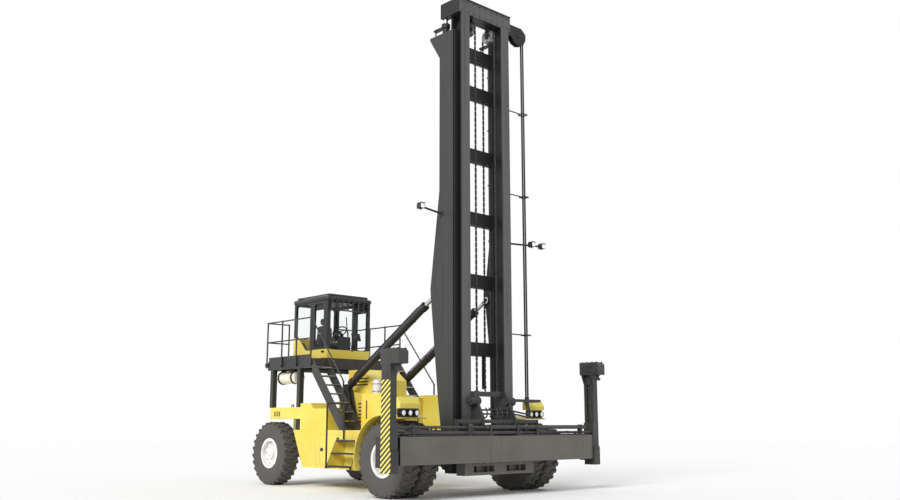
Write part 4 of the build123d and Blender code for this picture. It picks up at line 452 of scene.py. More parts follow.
def lens(name, colour, glow):
    """A lamp's pressed lens: fine ribs over a bright bowl."""
    finish = Finish(name)
    across, up = finish.axes()[::2]
    ribs = (across * LENS_RIBS).wave()
    rows = (up * LENS_ROWS).wave()
    bright = finish.mix(finish.ramp(ribs * rows, -0.6, 0.8), scaled(colour, 0.8), colour)
    return finish.surface(
        bright, Roughness=0.12, Normal=finish.bump(ribs + rows, 0.3, 0.001), Coat_Weight=0.6,
        Emission_Color=(*colour, 1.0), Emission_Strength=glow)


def step_plate():
    """Tread plate: raised bars on dark paint, worn bright on top; the side steps have yellow ends."""
    finish = Finish("step_plate")
    x, y, z = finish.axes()
    rising, falling = [
        (line % TREAD_PITCH - TREAD_PITCH / 2).size() < TREAD_BAR_HALF for line in (x + y, x - y)]
    odd = ((x + y) % (2 * TREAD_PITCH)) > TREAD_PITCH
    raised = (rising * odd + falling * (1.0 - odd)) * (finish.facing()[2] > LOOKS_UP)
    worn = finish.patches(0.45, 0.75, 6.0, 4.0) * raised
    end = (finish.facing()[1].size() > LOOKS_ALONG) * (z < STEP_END_TOP)
    end = end * (x.size() > STEP_END_IN) * (x.size() < STEP_END_OUT)
    base = finish.mix(end, finish.mix(worn * 0.6, SOOT, STEEL), AMBER)
    return finish.surface(
        base, Roughness=0.6 - worn * 0.2, Metallic=worn * 0.6, Normal=finish.bump(raised, 0.8, 0.004))


PAINT = {
    "yellow": yellow_paint(), "dark": dark_paint(), "mast": mast_paint(), "post": post_paint(),
    "cab": cab_paint(), "hood": hood_paint(), "beam": beam_paint(), "tank": tank_paint(),
    "fender": fender_paint(), "tyre": tyre_rubber(), "rim": rim_paint(), "rod": polished_rod(),
    "steel": bare_steel(), "chain": chain_steel(), "hose": hose_rubber(), "iron": cast_iron(),
    "glass": window_glass(), "cloth": seat_cloth(), "plastic": cab_plastic(), "step": step_plate(),
    "white_lens": lens("white_lens", LENS_WHITE, 0.35), "red_lens": lens("red_lens", LENS_RED, 0.1),
    "amber_lens": lens("amber_lens", LENS_AMBER, 0.1),
}

# Finish of each node that stays in view
NODE_FINISH = {
    "yellow": ("hull_sides", "counterweight"),
    "hood": ("engine_hood",),
    "beam": ("spreader_beam", "left_arm", "right_arm"),
    "tank": ("service_tanks",),
    "fender": ("front_fenders",),
    "cab": ("cab_panels", "cab_pillars", "left_door", "right_door"),
    "dark": ("chassis_frame", "drive_axle", "steer_axle", "stair_stringers", "railings", "cab_floor",
             "cab_roof", "left_knuckle", "right_knuckle", "carriage", "telescope_barrels", "platform"),
    "step": ("stair_treads", "side_steps"),
    "mast": ("outer_mast_rails", "outer_mast_stiffeners", "outer_mast_ties", "lift_barrels", "mast_lamps",
             "inner_mast_rails", "inner_mast_ties", "inner_mast_head", "tilt_barrels"),
    "post": ("left_post", "right_post"),
    "rim": ("left_front_rims", "right_front_rims", "left_rear_rim", "right_rear_rim"),
    "tyre": ("left_front_tyres", "right_front_tyres", "left_rear_tyre", "right_rear_tyre"),
    "rod": ("tilt_rods", "lift_rods", "steer_rod"),
    "steel": ("mast_rollers", "carriage_rollers"),
    "chain": ("chain_hose_tops", "chain_hose_falls"),
    "iron": ("engine_block",),
    "glass": ("cab_glass", "left_door_glass", "right_door_glass"),
    "cloth": ("cab_seat",),
    "plastic": ("cab_console",),
}
for finish_name, node_names in NODE_FINISH.items():
    for node_name in node_names:
        NODES[node_name].data.materials.clear()
        NODES[node_name].data.materials.append(PAINT[finish_name])


def linked(name, data):
    """A new object in the scene."""
    made = bpy.data.objects.new(name, data)
    bpy.context.scene.collection.objects.link(made)
    return made


def turn_by(degrees, axis):
    return Matrix.Rotation(radians(degrees), 3, axis)


def on_side(side, place):
    """A place that is given for the left side, on the side asked for."""
    return (side * place[0], *place[1:])


def row(start, end, count):
    """Evenly spaced points between two points, both ends included."""
    start, end = Vector(start), Vector(end)
    return [start.lerp(end, step / (count - 1)) for step in range(count)]


# A nut's parts, as shares of its radius
WASHER_RADIUS = 1.35
NUT_HEIGHT = 0.9
STUD_RADIUS = 0.5
STUD_HEIGHT = 1.5


class Mould:
    """A piece in the making: shapes are added with bmesh operators, and done() rides it on its body."""

    def __init__(self):
        self.mesh = bmesh.new()

    def soften(self, edges, edge, segments):
        if edge:
            bmesh.ops.bevel(
                self.mesh, geom=list(edges), offset=edge, segments=segments, profile=0.5, affect="EDGES",
                material=-1, offset_type="OFFSET", clamp_overlap=True)

    def block(self, low, high, edge=0.0, segments=1, turn=None):
        """A box between two corners, with softened edges, turned about its middle if a matrix is given."""
        low, high = Vector(low), Vector(high)
        place = Matrix.Translation((low + high) / 2)
        if turn:
            place = place @ turn.to_4x4()
        place = place @ Matrix.Diagonal((*(high - low), 1.0))
        verts = bmesh.ops.create_cube(self.mesh, size=1.0, matrix=place)["verts"]
        self.soften({link for vert in verts for link in vert.link_edges}, edge, segments)
        return self

    def plate(self, middle, size, edge=0.0, segments=1, turn=None):
        """A box by its middle and its width, depth and height."""
        middle, half = Vector(middle), Vector(size) / 2
        return self.block(middle - half, middle + half, edge, segments, turn)

    def rod(self, start, end, radius, tip=None, segments=16, edge=0.0):
        """A round bar or cone between two points."""
        start, end = Vector(start), Vector(end)
        line = end - start
        place = Matrix.Translation((start + end) / 2) @ line.to_track_quat("Z", "Y").to_matrix().to_4x4()
        tip = radius if tip is None else tip
        verts = bmesh.ops.create_cone(
            self.mesh, cap_ends=True, segments=segments, radius1=radius, radius2=tip, depth=line.length,
            matrix=place)["verts"]
        rims = {link for vert in verts for link in vert.link_edges if len(link.link_faces) == 2
                and max(len(face.verts) for face in link.link_faces) > 4}
        self.soften(rims, edge, 2)
        return self

    def ball(self, centre, radius):
        """A small sphere, such as one that rounds off the meeting of two rails."""
        bmesh.ops.create_uvsphere(
            self.mesh, u_segments=16, v_segments=10, radius=radius, matrix=Matrix.Translation(centre))

    def turned(self, profile, centre, axis, steps=48, closed=True):
        """A turned shape: a profile of (along, radius) points spun once about an axis."""
        axis = Vector(axis).normalized()
        side = axis.orthogonal().normalized()
        centre = Vector(centre)
        verts = [self.mesh.verts.new(centre + axis * along + side * radius) for along, radius in profile]
        links = list(zip(verts, verts[1:] + verts[:1] if closed else verts[1:]))
        edges = [self.mesh.edges.new(link) for link in links]
        bmesh.ops.spin(
            self.mesh, geom=verts + edges, cent=centre, axis=axis, angle=2 * pi, steps=steps, use_merge=True)
        return self

    def ring(self, centre, axis, inner, outer, width, steps):
        """A flat ring that starts at its centre point and grows along its axis."""
        return self.turned(((0.0, inner), (0.0, outer), (width, outer), (width, inner)), centre, axis, steps)

    def swept(self, points, radius, closed=False, sides=4, order=3):
        """A round tube along a smooth line through a few control points."""
        curve = bpy.data.curves.new("swept_line", "CURVE")
        curve.dimensions = "3D"
        curve.bevel_depth = radius
        curve.bevel_resolution = sides
        curve.use_fill_caps = True
        curve.resolution_u = 8
        line = curve.splines.new("NURBS")
        line.points.add(len(points) - 1)
        for place, point in zip(line.points, points):
            place.co = (*point, 1.0)
        line.order_u = order
        line.use_cyclic_u = closed
        line.use_endpoint_u = not closed
        holder = bpy.data.objects.new("swept_line", curve)
        swept = bpy.data.meshes.new_from_object(holder)
        self.mesh.from_mesh(swept)
        bpy.data.objects.remove(holder)
        bpy.data.curves.remove(curve)
        bpy.data.meshes.remove(swept)
        return self

    def copy_placed(self, source, place):
        """A copy of another mould's shapes, put in place by a matrix."""
        mesh = bpy.data.meshes.new("copied")
        source.mesh.to_mesh(mesh)
        mesh.transform(place)
        self.mesh.from_mesh(mesh)
        bpy.data.meshes.remove(mesh)
        return self

    def copy_turned(self, source, count, centre, axis):
        """Copies of another mould's shapes, evenly spaced round an axis."""
        for step in range(count):
            spin = Matrix.Rotation(2 * pi * step / count, 4, Vector(axis))
            self.copy_placed(source, Matrix.Translation(centre) @ spin @ Matrix.Translation(-Vector(centre)))
        return self

    def nut(self, place, axis, size):
        """A hexagonal nut on its washer, with the stud's end."""
        place, axis = Vector(place), Vector(axis)
        self.rod(place - axis * 0.002, place + axis * 0.004, size * WASHER_RADIUS)
        self.rod(place, place + axis * size * NUT_HEIGHT, size, segments=6)
        self.rod(place, place + axis * size * STUD_HEIGHT, size * STUD_RADIUS, segments=10)
        return self

    def bolts(self, places, axis, size):
        for place in places:
            self.nut(place, axis, size)

    def nut_ring(self, centre, axis, radius, count, size):
        """Nuts evenly spaced on a circle about an axis."""
        axis = Vector(axis)
        side = axis.orthogonal().normalized()
        self.copy_turned(Mould().nut(Vector(centre) + side * radius, axis, size), count, centre, axis)

    def mirrored(self):
        """The same shapes again on the machine's other side."""
        whole = self.mesh.verts[:] + self.mesh.edges[:] + self.mesh.faces[:]
        copy = bmesh.ops.duplicate(self.mesh, geom=whole)["geom"]
        verts = [part for part in copy if isinstance(part, bmesh.types.BMVert)]
        faces = [part for part in copy if isinstance(part, bmesh.types.BMFace)]
        bmesh.ops.scale(self.mesh, vec=(-1.0, 1.0, 1.0), verts=verts)
        bmesh.ops.reverse_faces(self.mesh, faces=faces)
        return self

    def done(self, name, body, finish, smooth=35, slot=None):
        """The finished piece, shaded smooth up to an angle, on its body; the slot argument is not used."""
        bmesh.ops.recalc_face_normals(self.mesh, faces=self.mesh.faces[:])
        data = bpy.data.meshes.new(name)
        self.mesh.to_mesh(data)
        self.mesh.free()
        for face in data.polygons:
            face.use_smooth = True
        data.set_sharp_from_angle(angle=radians(smooth))
        data.materials.append(PAINT[finish])
        piece = linked(name, data)
        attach(piece, body)
        return piece


# Wheels: tyres with lugs, wheel nuts and hub caps

FRONT_AXLE_Y = -2.3
REAR_AXLE_Y = 2.9
FRONT_TYRES_X = (2.04, 1.56)
REAR_TYRE_X = 1.36
TYRE_RADIUS = 0.745
TYRE_WALL = (
    (0.165, 0.3183), (0.172, 0.352), (0.196, 0.42), (0.213, 0.50), (0.2145, 0.56), (0.206, 0.63),
    (0.192, 0.69), (0.165, 0.713))
TYRE_CROWN = (0.0, 0.719)
LUG_COUNT = 26
LUG_TOP = TYRE_RADIUS - 0.0016
LUG_EDGE = 0.006
LUG_BAR = ((0.012, -0.034, -0.05), (0.18, 0.034, 0.0))
LUG_SLANT = 14
LUG_SHOULDER = ((0.165, -0.060, -0.115), (0.196, 0.004, -0.018))
LUG_FOLD = 34
FRONT_DISC_NUTS = (2.028, 0.213, 16, 0.017)
FRONT_HUB_NUTS = (0.125, 10, 0.012)
FRONT_CAP = ((0.0, 0.085), (0.018, 0.085), (0.026, 0.07), (0.026, 0.0))
REAR_NUTS = ((1.457, 0.2, 12, 0.019), (1.51, 0.07, 6, 0.01))
REAR_CAP = ((0.0, 0.055), (0.014, 0.055), (0.02, 0.045), (0.02, 0.0))


def tyre_lug(side):
    """One tread lug of a tyre at the origin: a slanted bar on the crown that folds over the shoulder."""
    lug = Mould()
    for box, degrees, axis in ((LUG_BAR, LUG_SLANT, "Z"), (LUG_SHOULDER, LUG_FOLD, "Y")):
        low, high = [(side * x, y, LUG_TOP + z) for x, y, z in box]
        lug.block(low, high, LUG_EDGE, 1, turn_by(side * degrees, axis))
    return lug


def tyre(name, places, body, node):
    """A wheel's tyres, each a turned carcass with two rows of lugs."""
    made = Mould()
    profile = [(-along, radius) for along, radius in TYRE_WALL] + [TYRE_CROWN] + list(reversed(TYRE_WALL))
    for x, y in places:
        centre = (x, y, TYRE_RADIUS)
        made.turned(profile, centre, ACROSS, 64)
        for side in (-1, 1):
            half_pitch = Matrix.Rotation(pi / LUG_COUNT * (side > 0), 4, "X")
            placed = Mould().copy_placed(tyre_lug(side), Matrix.Translation(centre) @ half_pitch)
            made.copy_turned(placed, LUG_COUNT, centre, ACROSS)
    piece = made.done(name, body, "tyre")
    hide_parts(node)


def hub_trim(name, body, side, y, rings, cap, steps):
    """Rings of nuts, as (x, radius, count, nut size) rows, and a turned cap inside the last ring."""
    made = Mould()
    out = (side, 0, 0)
    for x, radius, count, size in rings:
        face = (side * x, y, TYRE_RADIUS)
        made.nut_ring(face, out, radius, count, size)
    made.turned(cap, face, out, steps, False)
    made.done(name, body, "rim")


def wheels():
    for name, side in SIDES:
        front = [(side * x, FRONT_AXLE_Y) for x in FRONT_TYRES_X]
        tyre(f"{name}_front_lugs", front, f"{name}_front_wheels", f"{name}_front_tyres")
        rear = [(side * REAR_TYRE_X, REAR_AXLE_Y)]
        tyre(f"{name}_rear_lugs", rear, f"{name}_rear_wheel", f"{name}_rear_tyre")
    for name, side in SIDES:
        hub_face = max(abs(corner.x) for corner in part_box(f"{name}_front_rims"))
        hub_trim(f"{name}_front_hub_trim", f"{name}_front_wheels", side, FRONT_AXLE_Y,
                 (FRONT_DISC_NUTS, (hub_face, *FRONT_HUB_NUTS)), FRONT_CAP, 32)
        rear_y = sum(corner.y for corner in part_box(f"{name}_rear_rim")) / 2
        hub_trim(f"{name}_rear_hub_trim", f"{name}_rear_wheel", side, rear_y, REAR_NUTS, REAR_CAP, 24)


def arc(across, up, radius, start, end, steps):
    """Points (across, up) along an arc between two angles in degrees."""
    angles = [radians(start + (end - start) * step / steps) for step in range(steps + 1)]
    return [(across + radius * cos(angle), up + radius * sin(angle)) for angle in angles]


# Lift chains and hoses over the mast head

SHEAVE_X = 0.3
SHEAVE_Y = -2.83
SHEAVE_Z = 10.15
CHAIN_MIDDLE = 0.178
CHAIN_PITCH = 0.0635
CHAIN_HALF = 0.0295
CHAIN_PIN = 0.008
CHAIN_PLATE = (0.0075, 0.025, CHAIN_PITCH + 0.032)
CHAIN_PLATES_X = ((-0.02, 0.0, 0.02), (-0.01, 0.01))
CHAIN_FALL_LOW = 2.12
CHAIN_TAIL_LOW = 2.27
CHAIN_STOP = SHEAVE_Z - 0.02
CHAIN_ARC_LINKS = 9
HOSE_RADIUS = 0.0198
HOSE_PLACES = (-2.76, -2.70)
HOSE_FALL_X = 1.535
HOSE_SHEAVE = (1.37, 10.505, 0.165)
HOSE_LOW = 1.96
HOSE_START_X = 0.81
HOSE_NUTS_X = (0.84, 0.90)


def chain_link(plates):
    """One pitch of leaf chain, upright at the origin: its pin, and the plates that reach to the next pin."""
    link = Mould().rod((-CHAIN_HALF, 0, 0), (CHAIN_HALF, 0, 0), CHAIN_PIN, segments=8)
    for x in plates:
        link.plate((x, 0, CHAIN_PITCH / 2), CHAIN_PLATE, 0.004)
    return link


def chain_run(made, links, x, y, low):
    """Chain links from a height up to the sheave's middle."""
    for step in range(int((CHAIN_STOP - low) / CHAIN_PITCH)):
        made.copy_placed(links[step % 2], Matrix.Translation((x, y, low + step * CHAIN_PITCH)))


def chain_arc(made, links, x):
    """Chain links over the top of a sheave."""
    for step in range(CHAIN_ARC_LINKS):
        angle = pi * step / CHAIN_ARC_LINKS
        place = Matrix.Translation(
            (x, SHEAVE_Y - CHAIN_MIDDLE * cos(angle), SHEAVE_Z + CHAIN_MIDDLE * sin(angle)))
        made.copy_placed(links[step % 2], place @ Matrix.Rotation(-angle - pi / CHAIN_ARC_LINKS / 2, 4, "X"))


def lift_chains():
    links = [chain_link(plates) for plates in CHAIN_PLATES_X]
    falls = Mould()
    tops = Mould()
    for x in (-SHEAVE_X, SHEAVE_X):
        chain_run(falls, links, x, SHEAVE_Y - CHAIN_MIDDLE, CHAIN_FALL_LOW)
        chain_run(tops, links, x, SHEAVE_Y + CHAIN_MIDDLE, CHAIN_TAIL_LOW)
        chain_arc(tops, links, x)
    for y in HOSE_PLACES:
        top = HOSE_SHEAVE[1] + HOSE_SHEAVE[2]
        bend = [(across, y, up) for across, up in arc(*HOSE_SHEAVE, 90, 0, 8)]
        tops.swept([(HOSE_START_X, y, top)] + bend, HOSE_RADIUS, order=2)
        for x in HOSE_NUTS_X:
            tops.rod((x, y, top), (x + 0.035, y, top), 0.027, segments=6)
    tops = tops.done("lift_chain_tops", "inner_mast", "chain")
    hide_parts("chain_hose_tops")
    falls = falls.done("lift_chain_falls", "inner_mast", "chain")
    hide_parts("chain_hose_falls")
    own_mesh(falls)
    hoses = Mould()
    for y in HOSE_PLACES:
        hoses.rod((HOSE_FALL_X, y, HOSE_LOW), (HOSE_FALL_X, y, HOSE_SHEAVE[1]), HOSE_RADIUS)
    hoses = hoses.done("lift_hose_falls", "inner_mast", "hose")
    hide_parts("chain_hose_falls")
    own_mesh(hoses)


# Lamps on the fenders, the mast and the tail

FENDER_LAMPS = (1.687, 1.860, 2.033)
FENDER_LAMP_Z = 1.65
FENDER_LAMP_FACE = -2.7205
LAMP_RING = ((-0.012, 0.0595), (0.008, 0.0595), (0.009, 0.050), (0.001, 0.049))
LAMP_LENS = ((0.0015, 0.050), (0.006, 0.034), (0.008, 0.001))
MAST_LAMPS = ((-1.45, -2.59, 5.95), (1.95, -2.64, 5.56), (2.30, -2.64, 5.56))
MAST_LENS = (0.096, 0.01, 0.096)
MAST_LAMP_HOOD = (0.124, 0.15, 0.01)
TAIL_LAMP_X = (0.725, 0.875, 0.879, 0.955)
TAIL_LAMP_Y = (3.727, 3.747)
TAIL_LAMP_Z = (1.645, 1.735)


def lamps():
    rings = Mould()
    lenses = Mould()
    for x in FENDER_LAMPS:
        face = (x, FENDER_LAMP_FACE, FENDER_LAMP_Z)
        rings.turned(LAMP_RING, face, AHEAD, 32)
        lenses.turned(LAMP_LENS, face, AHEAD, 32, False)
    rings.mirrored().done("fender_lamp_rings", "chassis", "plastic")
    lenses.mirrored().done("fender_lamp_lenses", "chassis", "white_lens")
    work = Mould()
    hoods = Mould()
    for x, y, z in MAST_LAMPS:
        work.plate((x, y - 0.001, z), MAST_LENS, 0.004, 2)
        hoods.plate((x, y + 0.045, z + 0.059), MAST_LAMP_HOOD, 0.004)
        hoods.rod((x, y + 0.06, z - 0.085), (x, y + 0.06, z - 0.055), 0.016, segments=12)
    work.done("mast_lamp_lenses", "outer_mast", "white_lens")
    hoods.done("mast_lamp_hoods", "outer_mast", "dark")
    for colour, near, far in (("red", *TAIL_LAMP_X[:2]), ("amber", *TAIL_LAMP_X[2:])):
        low, high = (near, TAIL_LAMP_Y[0], TAIL_LAMP_Z[0]), (far, TAIL_LAMP_Y[1], TAIL_LAMP_Z[1])
        Mould().block(low, high, 0.006, 2).mirrored().done(f"tail_lamp_{colour}", "chassis", f"{colour}_lens")


# Cab: window rubbers, blinds, wiper, handles, seat and controls

CAB_FLOOR = 3.03
CAB_FRONT = 1.85
CAB_BACK = 3.32
WINDOW_HALF = 0.58
WINDOW_TOP = 4.43
WINDOW_ROUND = 0.07
RUBBER_IN = 0.006
RUBBER_SIDE = 0.674
RUBBER_RADIUS = 0.011
DOOR_WINDOW_FRONT = 1.986
DOOR_WINDOW_BACK = 2.394
DOOR_WINDOW_LOW = 3.28
DOOR_WINDOW_TOP = 4.394
QUARTER_FRONT = 2.57
QUARTER_BACK = 3.22
BLIND_DROP = 0.15
BLIND_IN = 0.636
BLIND_OUT = 0.641
BLIND_HEM_X = 0.634
HANDLE_PLACE = (0.6825, 2.0, 3.19)
HANDLE_PLATE = (0.007, 0.11, 0.06)
HANDLE_LINE = ((0.684, 1.955), (0.712, 1.958), (0.714, 1.99), (0.714, 2.02), (0.712, 2.042), (0.684, 2.045))
WIPER_SPINDLE = ((0.1, 1.872, 3.24), (0.1, 1.838, 3.24))
WIPER_ARM = ((0.1, 1.842, 3.24), (0.02, 1.836, 3.5), (-0.06, 1.840, 3.76))
WIPER_BLADE = ((-0.069, 1.839, 3.45), (-0.053, 1.866, 4.07))
WIPER_LEAN = -6
SEAT_Y = 2.69
SEAT_FOOT = (0.36, 0.36, 0.07)
BELLOWS = (0.26, 0.30, 0.05)
BELLOWS_COUNT = 5
BELLOWS_GROW = 0.024
SEAT_PAN = ((-0.21, -0.21, 3.35), (0.21, 0.24, 3.40))
SEAT_PADS = (
    ((-0.235, -0.245, 3.395), (0.235, 0.225, 3.51), 0.03),
    ((-0.225, 0.15, 3.49), (0.225, 0.268, 3.93), 0.03),
    ((-0.13, 0.165, 3.945), (0.13, 0.26, 4.125), 0.022))
ARM_PAD = ((0.205, -0.14, 3.70), (0.25, 0.16, 3.755), 0.01)
ARM_LINE = ((0.21, 3.42), (0.21, 3.70), (0.12, 3.72))
LEVER_X = 0.32
LEVER_STAND = (0.08, 0.3, 0.49)
PEDAL = (0.1, 0.025, 0.15)
SCREEN = (0.26, 0.03, 0.2)
SCREEN_X = 0.33


def rounded_frame(low, high, radius):
    """Points (across, up) round a rectangle with rounded corners."""
    left, right = low[0] + radius, high[0] - radius
    bottom, top = low[1] + radius, high[1] - radius
    corners = ((right, top, 0), (left, top, 90), (left, bottom, 180), (right, bottom, 270))
    return [point for across, up, turn in corners for point in arc(across, up, radius, turn, turn + 90, 4)]


def quarter_frame(x):
    """Points round the rear side window: the sweeping sill, then the rounded top."""
    middle = (QUARTER_FRONT + QUARTER_BACK) / 2
    points = interpolate_bezier(
        (x, QUARTER_FRONT, SILL_FRONT), (x, middle, SILL_FRONT), (x, middle, SILL_BACK),
        (x, QUARTER_BACK, SILL_BACK), 13)
    top = WINDOW_TOP - WINDOW_ROUND
    for y, start in ((QUARTER_BACK - WINDOW_ROUND, 0), (QUARTER_FRONT + WINDOW_ROUND, 90)):
        points += [(x, along, up) for along, up in arc(y, top, WINDOW_ROUND, start, start + 90, 4)]
    return points


def window_rubbers():
    fixed = Mould()
    for y, sill in ((CAB_FRONT + RUBBER_IN, SILL_FRONT), (CAB_BACK - RUBBER_IN, SILL_BACK)):
        line = rounded_frame((-WINDOW_HALF, sill), (WINDOW_HALF, WINDOW_TOP), WINDOW_ROUND)
        fixed.swept([(across, y, up) for across, up in line], RUBBER_RADIUS, True, 2, 2)
    for side in (-1, 1):
        fixed.swept(quarter_frame(side * RUBBER_SIDE), RUBBER_RADIUS, True, 2, 2)
    fixed.done("window_rubbers", "chassis", "hose", 60)
    for name, side in SIDES:
        door_trim(name, side)


def door_trim(name, side):
    """Window rubber, rolled blind and pull handle of one cab door."""
    body = f"{name}_cab_door"
    front, back, top = DOOR_WINDOW_FRONT, DOOR_WINDOW_BACK, DOOR_WINDOW_TOP
    line = rounded_frame((front, DOOR_WINDOW_LOW), (back, top), WINDOW_ROUND)
    rubber = Mould().swept([(side * RUBBER_SIDE, along, up) for along, up in line], RUBBER_RADIUS, True, 2, 2)
    rubber.done(f"{name}_door_rubber", body, "hose", 60)
    blind = Mould()
    hem = top - BLIND_DROP
    front, back = front + 0.01, back - 0.01
    blind.block((side * BLIND_IN, front, hem), (side * BLIND_OUT, back, top - 0.005), 0.002)
    blind.rod((side * BLIND_HEM_X, front, hem), (side * BLIND_HEM_X, back, hem), 0.008)
    blind.done(f"{name}_door_blind", body, "plastic")
    handle = Mould()
    handle.plate(on_side(side, HANDLE_PLACE), HANDLE_PLATE, 0.003)
    handle.swept([(side * out, y, HANDLE_PLACE[2]) for out, y in HANDLE_LINE], 0.008)
    handle.done(f"{name}_door_handle", body, "plastic")


def windscreen_wiper():
    wiper = Mould()
    wiper.rod(*WIPER_SPINDLE, 0.022, segments=20, edge=0.004)
    wiper.swept(WIPER_ARM, 0.008)
    wiper.block(*WIPER_BLADE, 0.003, 1, turn_by(WIPER_LEAN, "Y"))
    wiper.done("windscreen_wiper", "chassis", "plastic")


def pad(made, low, high, crown):
    """A crowned cushion: a box whose faces swell in the middle and pull in towards the corners."""
    low, high = Vector(low), Vector(high)
    middle, half = (low + high) / 2, (high - low) / 2
    form = Mould()
    bmesh.ops.create_cube(form.mesh, size=2.0)
    bmesh.ops.subdivide_edges(form.mesh, edges=list(form.mesh.edges), cuts=9, use_grid_fill=True)
    for vert in form.mesh.verts:
        share = Vector(vert.co)
        for axis in range(3):
            others = [share[other] for other in range(3) if other != axis]
            swell = max(0, 1 - others[0] ** 2) * max(0, 1 - others[1] ** 2)
            vert.co[axis] = share[axis] * (half[axis] - crown + crown * swell ** 0.5)
    for step in range(3):
        bmesh.ops.smooth_vert(
            form.mesh, verts=list(form.mesh.verts), factor=0.4, use_axis_x=True, use_axis_y=True,
            use_axis_z=True)
    made.copy_placed(form, Matrix.Translation(middle))


def driver_seat():
    base = Mould()
    base.plate((0, SEAT_Y, CAB_FLOOR + SEAT_FOOT[2] / 2), SEAT_FOOT, 0.01, 2)
    width, depth, height = BELLOWS
    for step in range(BELLOWS_COUNT):
        grow = BELLOWS_GROW * (step % 2)
        z = CAB_FLOOR + SEAT_FOOT[2] + height * (step + 0.5)
        base.plate((0, SEAT_Y, z), (width + grow, depth + grow, height), 0.01, 2)
    low, high = [(x, SEAT_Y + y, z) for x, y, z in SEAT_PAN]
    base.block(low, high, 0.012, 2)
    for side in (-1, 1):
        base.swept([(side * 0.235, SEAT_Y + back, z) for back, z in ARM_LINE], 0.016)
        x, y = side * 0.06, SEAT_Y + 0.212
        base.rod((x, y, 3.86), (x, y, 4.02), 0.009, segments=12)
    base.done("seat_base", "chassis", "plastic")
    cover = Mould()
    for side, shape in [(1, shape) for shape in SEAT_PADS] + [(-1, ARM_PAD), (1, ARM_PAD)]:
        low, high = [(side * x, SEAT_Y + y, z) for x, y, z in shape[:2]]
        pad(cover, low, high, shape[2])
    cover = cover.done("seat_cushions", "chassis", "cloth", 60)
    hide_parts("cab_seat")


def cab_controls():
    parts = Mould()
    for side in (-1, 1):
        x = side * LEVER_X
        parts.plate((x, SEAT_Y - 0.05, 3.275), LEVER_STAND, 0.015, 2)
        parts.rod((x, SEAT_Y - 0.12, 3.52), (x, SEAT_Y - 0.13, 3.62), 0.012, segments=12)
        parts.rod((x, SEAT_Y - 0.13, 3.61), (x, SEAT_Y - 0.145, 3.70), 0.024, 0.02, 16, 0.004)
        parts.plate((side * 0.2, 2.1125, 3.125), PEDAL, 0.004, 1, turn_by(35, "X"))
    parts.plate((SCREEN_X, 1.995, 3.6), SCREEN, 0.008, 2, turn_by(-20, "X"))
    parts.rod((SCREEN_X, 2.0, CAB_FLOOR), (SCREEN_X, 2.0, 3.55), 0.018, segments=12)
    parts.done("cab_controls", "chassis", "plastic")


# Platform, stairs and rails

RAIL_X = 1.3703
RAIL_BALL = 0.0235
RAIL_LEVELS = (3.45, 3.94)
RAIL_POSTS = (1.5, 2.12, 2.76, 3.4203)
REAR_POST_X = 0.74
CLAMP_BACK = 1.3505
CLAMP_FACE = 1.398
CLAMP_Z = 2.88
STAIR_FOOT = (0.03, 1.30)
STAIR_TOP = (1.45, 2.97)
TREADS = 7
NOSE_IN = 0.925
NOSE_OUT = 1.325
TOE_BOARDS = (((1.338, 1.52, 2.97), (1.346, 3.36, 3.07)), ((0.76, 3.385, 2.97), (1.33, 3.393, 3.07)))


def rail_trim():
    joints = Mould()
    clamps = Mould()
    for y in RAIL_POSTS:
        for z in RAIL_LEVELS:
            joints.ball((RAIL_X, y, z), RAIL_BALL)
        clamps.block((CLAMP_BACK, y - 0.045, CLAMP_Z - 0.05), (CLAMP_FACE, y + 0.045, CLAMP_Z + 0.05), 0.006)
        clamps.bolts([(CLAMP_FACE, y + step, CLAMP_Z + step) for step in (-0.03, 0.03)], ACROSS, 0.009)
    for z in RAIL_LEVELS:
        joints.ball((REAR_POST_X, RAIL_POSTS[-1], z), RAIL_BALL)
    slope = (STAIR_TOP[1] - STAIR_FOOT[1]) / (STAIR_TOP[0] - STAIR_FOOT[0])
    foot_y = STAIR_FOOT[0] + 0.15
    joints.ball((RAIL_X, foot_y, RAIL_LEVELS[1] - (RAIL_POSTS[0] - foot_y) * slope), RAIL_BALL)
    joints.mirrored().done("rail_joints", "chassis", "dark")
    clamps.mirrored().done("rail_clamps", "chassis", "dark")
    noses = Mould()
    for step in range(1, TREADS + 1):
        z = STAIR_FOOT[1] + (STAIR_TOP[1] - STAIR_FOOT[1]) * step / (TREADS + 1)
        y = STAIR_FOOT[0] + (z - STAIR_FOOT[1]) / slope
        noses.block((NOSE_IN, y - 0.003, z - 0.02), (NOSE_OUT, y + 0.022, z + 0.004), 0.003)
    noses.mirrored().done("stair_noses", "chassis", "steel")
    kick = Mould()
    for low, high in TOE_BOARDS:
        kick.block(low, high, 0.002)
    kick.mirrored().done("toe_boards", "chassis", "dark")


# Hull, hood, tanks and counterweight

HULL_SIDE = 1.38
HULL_BOLT = 0.010
HULL_BOLT_ROWS = ((-0.45, 2.0, 1.255, 11), (-0.22, 1.62, 0.49, 9))
HULL_DOOR_FRONT = 0.33
HULL_LATCH_Y = 0.94
HULL_HINGES = (0.63, 1.10)
HULL_LATCH_Z = 0.865
TANK_CAP = (0.86, -0.62, 2.10)
TANK_CAP_SHAPE = ((0.0, 0.07), (0.03, 0.07), (0.036, 0.06), (0.036, 0.001))
TANK_STRAP = (1.072, -0.285)
TANK_STRAP_LOW = 1.55
TANK_STRAP_TOP = 1.95
HOOD_SIDE = 0.65
HOOD_FACE_Y = -0.225
HOOD_LATCHES = (-0.12, 0.55, 1.2)
HOOD_LATCH_Z = 1.40
HOOD_CORE = ((-0.6, -0.205, 1.32), (0.6, -0.2, 2.0))
SIDE_CORE = (0.63, 0.53, 1.675)
SIDE_CORE_SIZE = (0.004, 1.42, 0.55)
CANISTER_CLAMPS = (2.16, 2.33)
GRILLE_HALF = 0.5
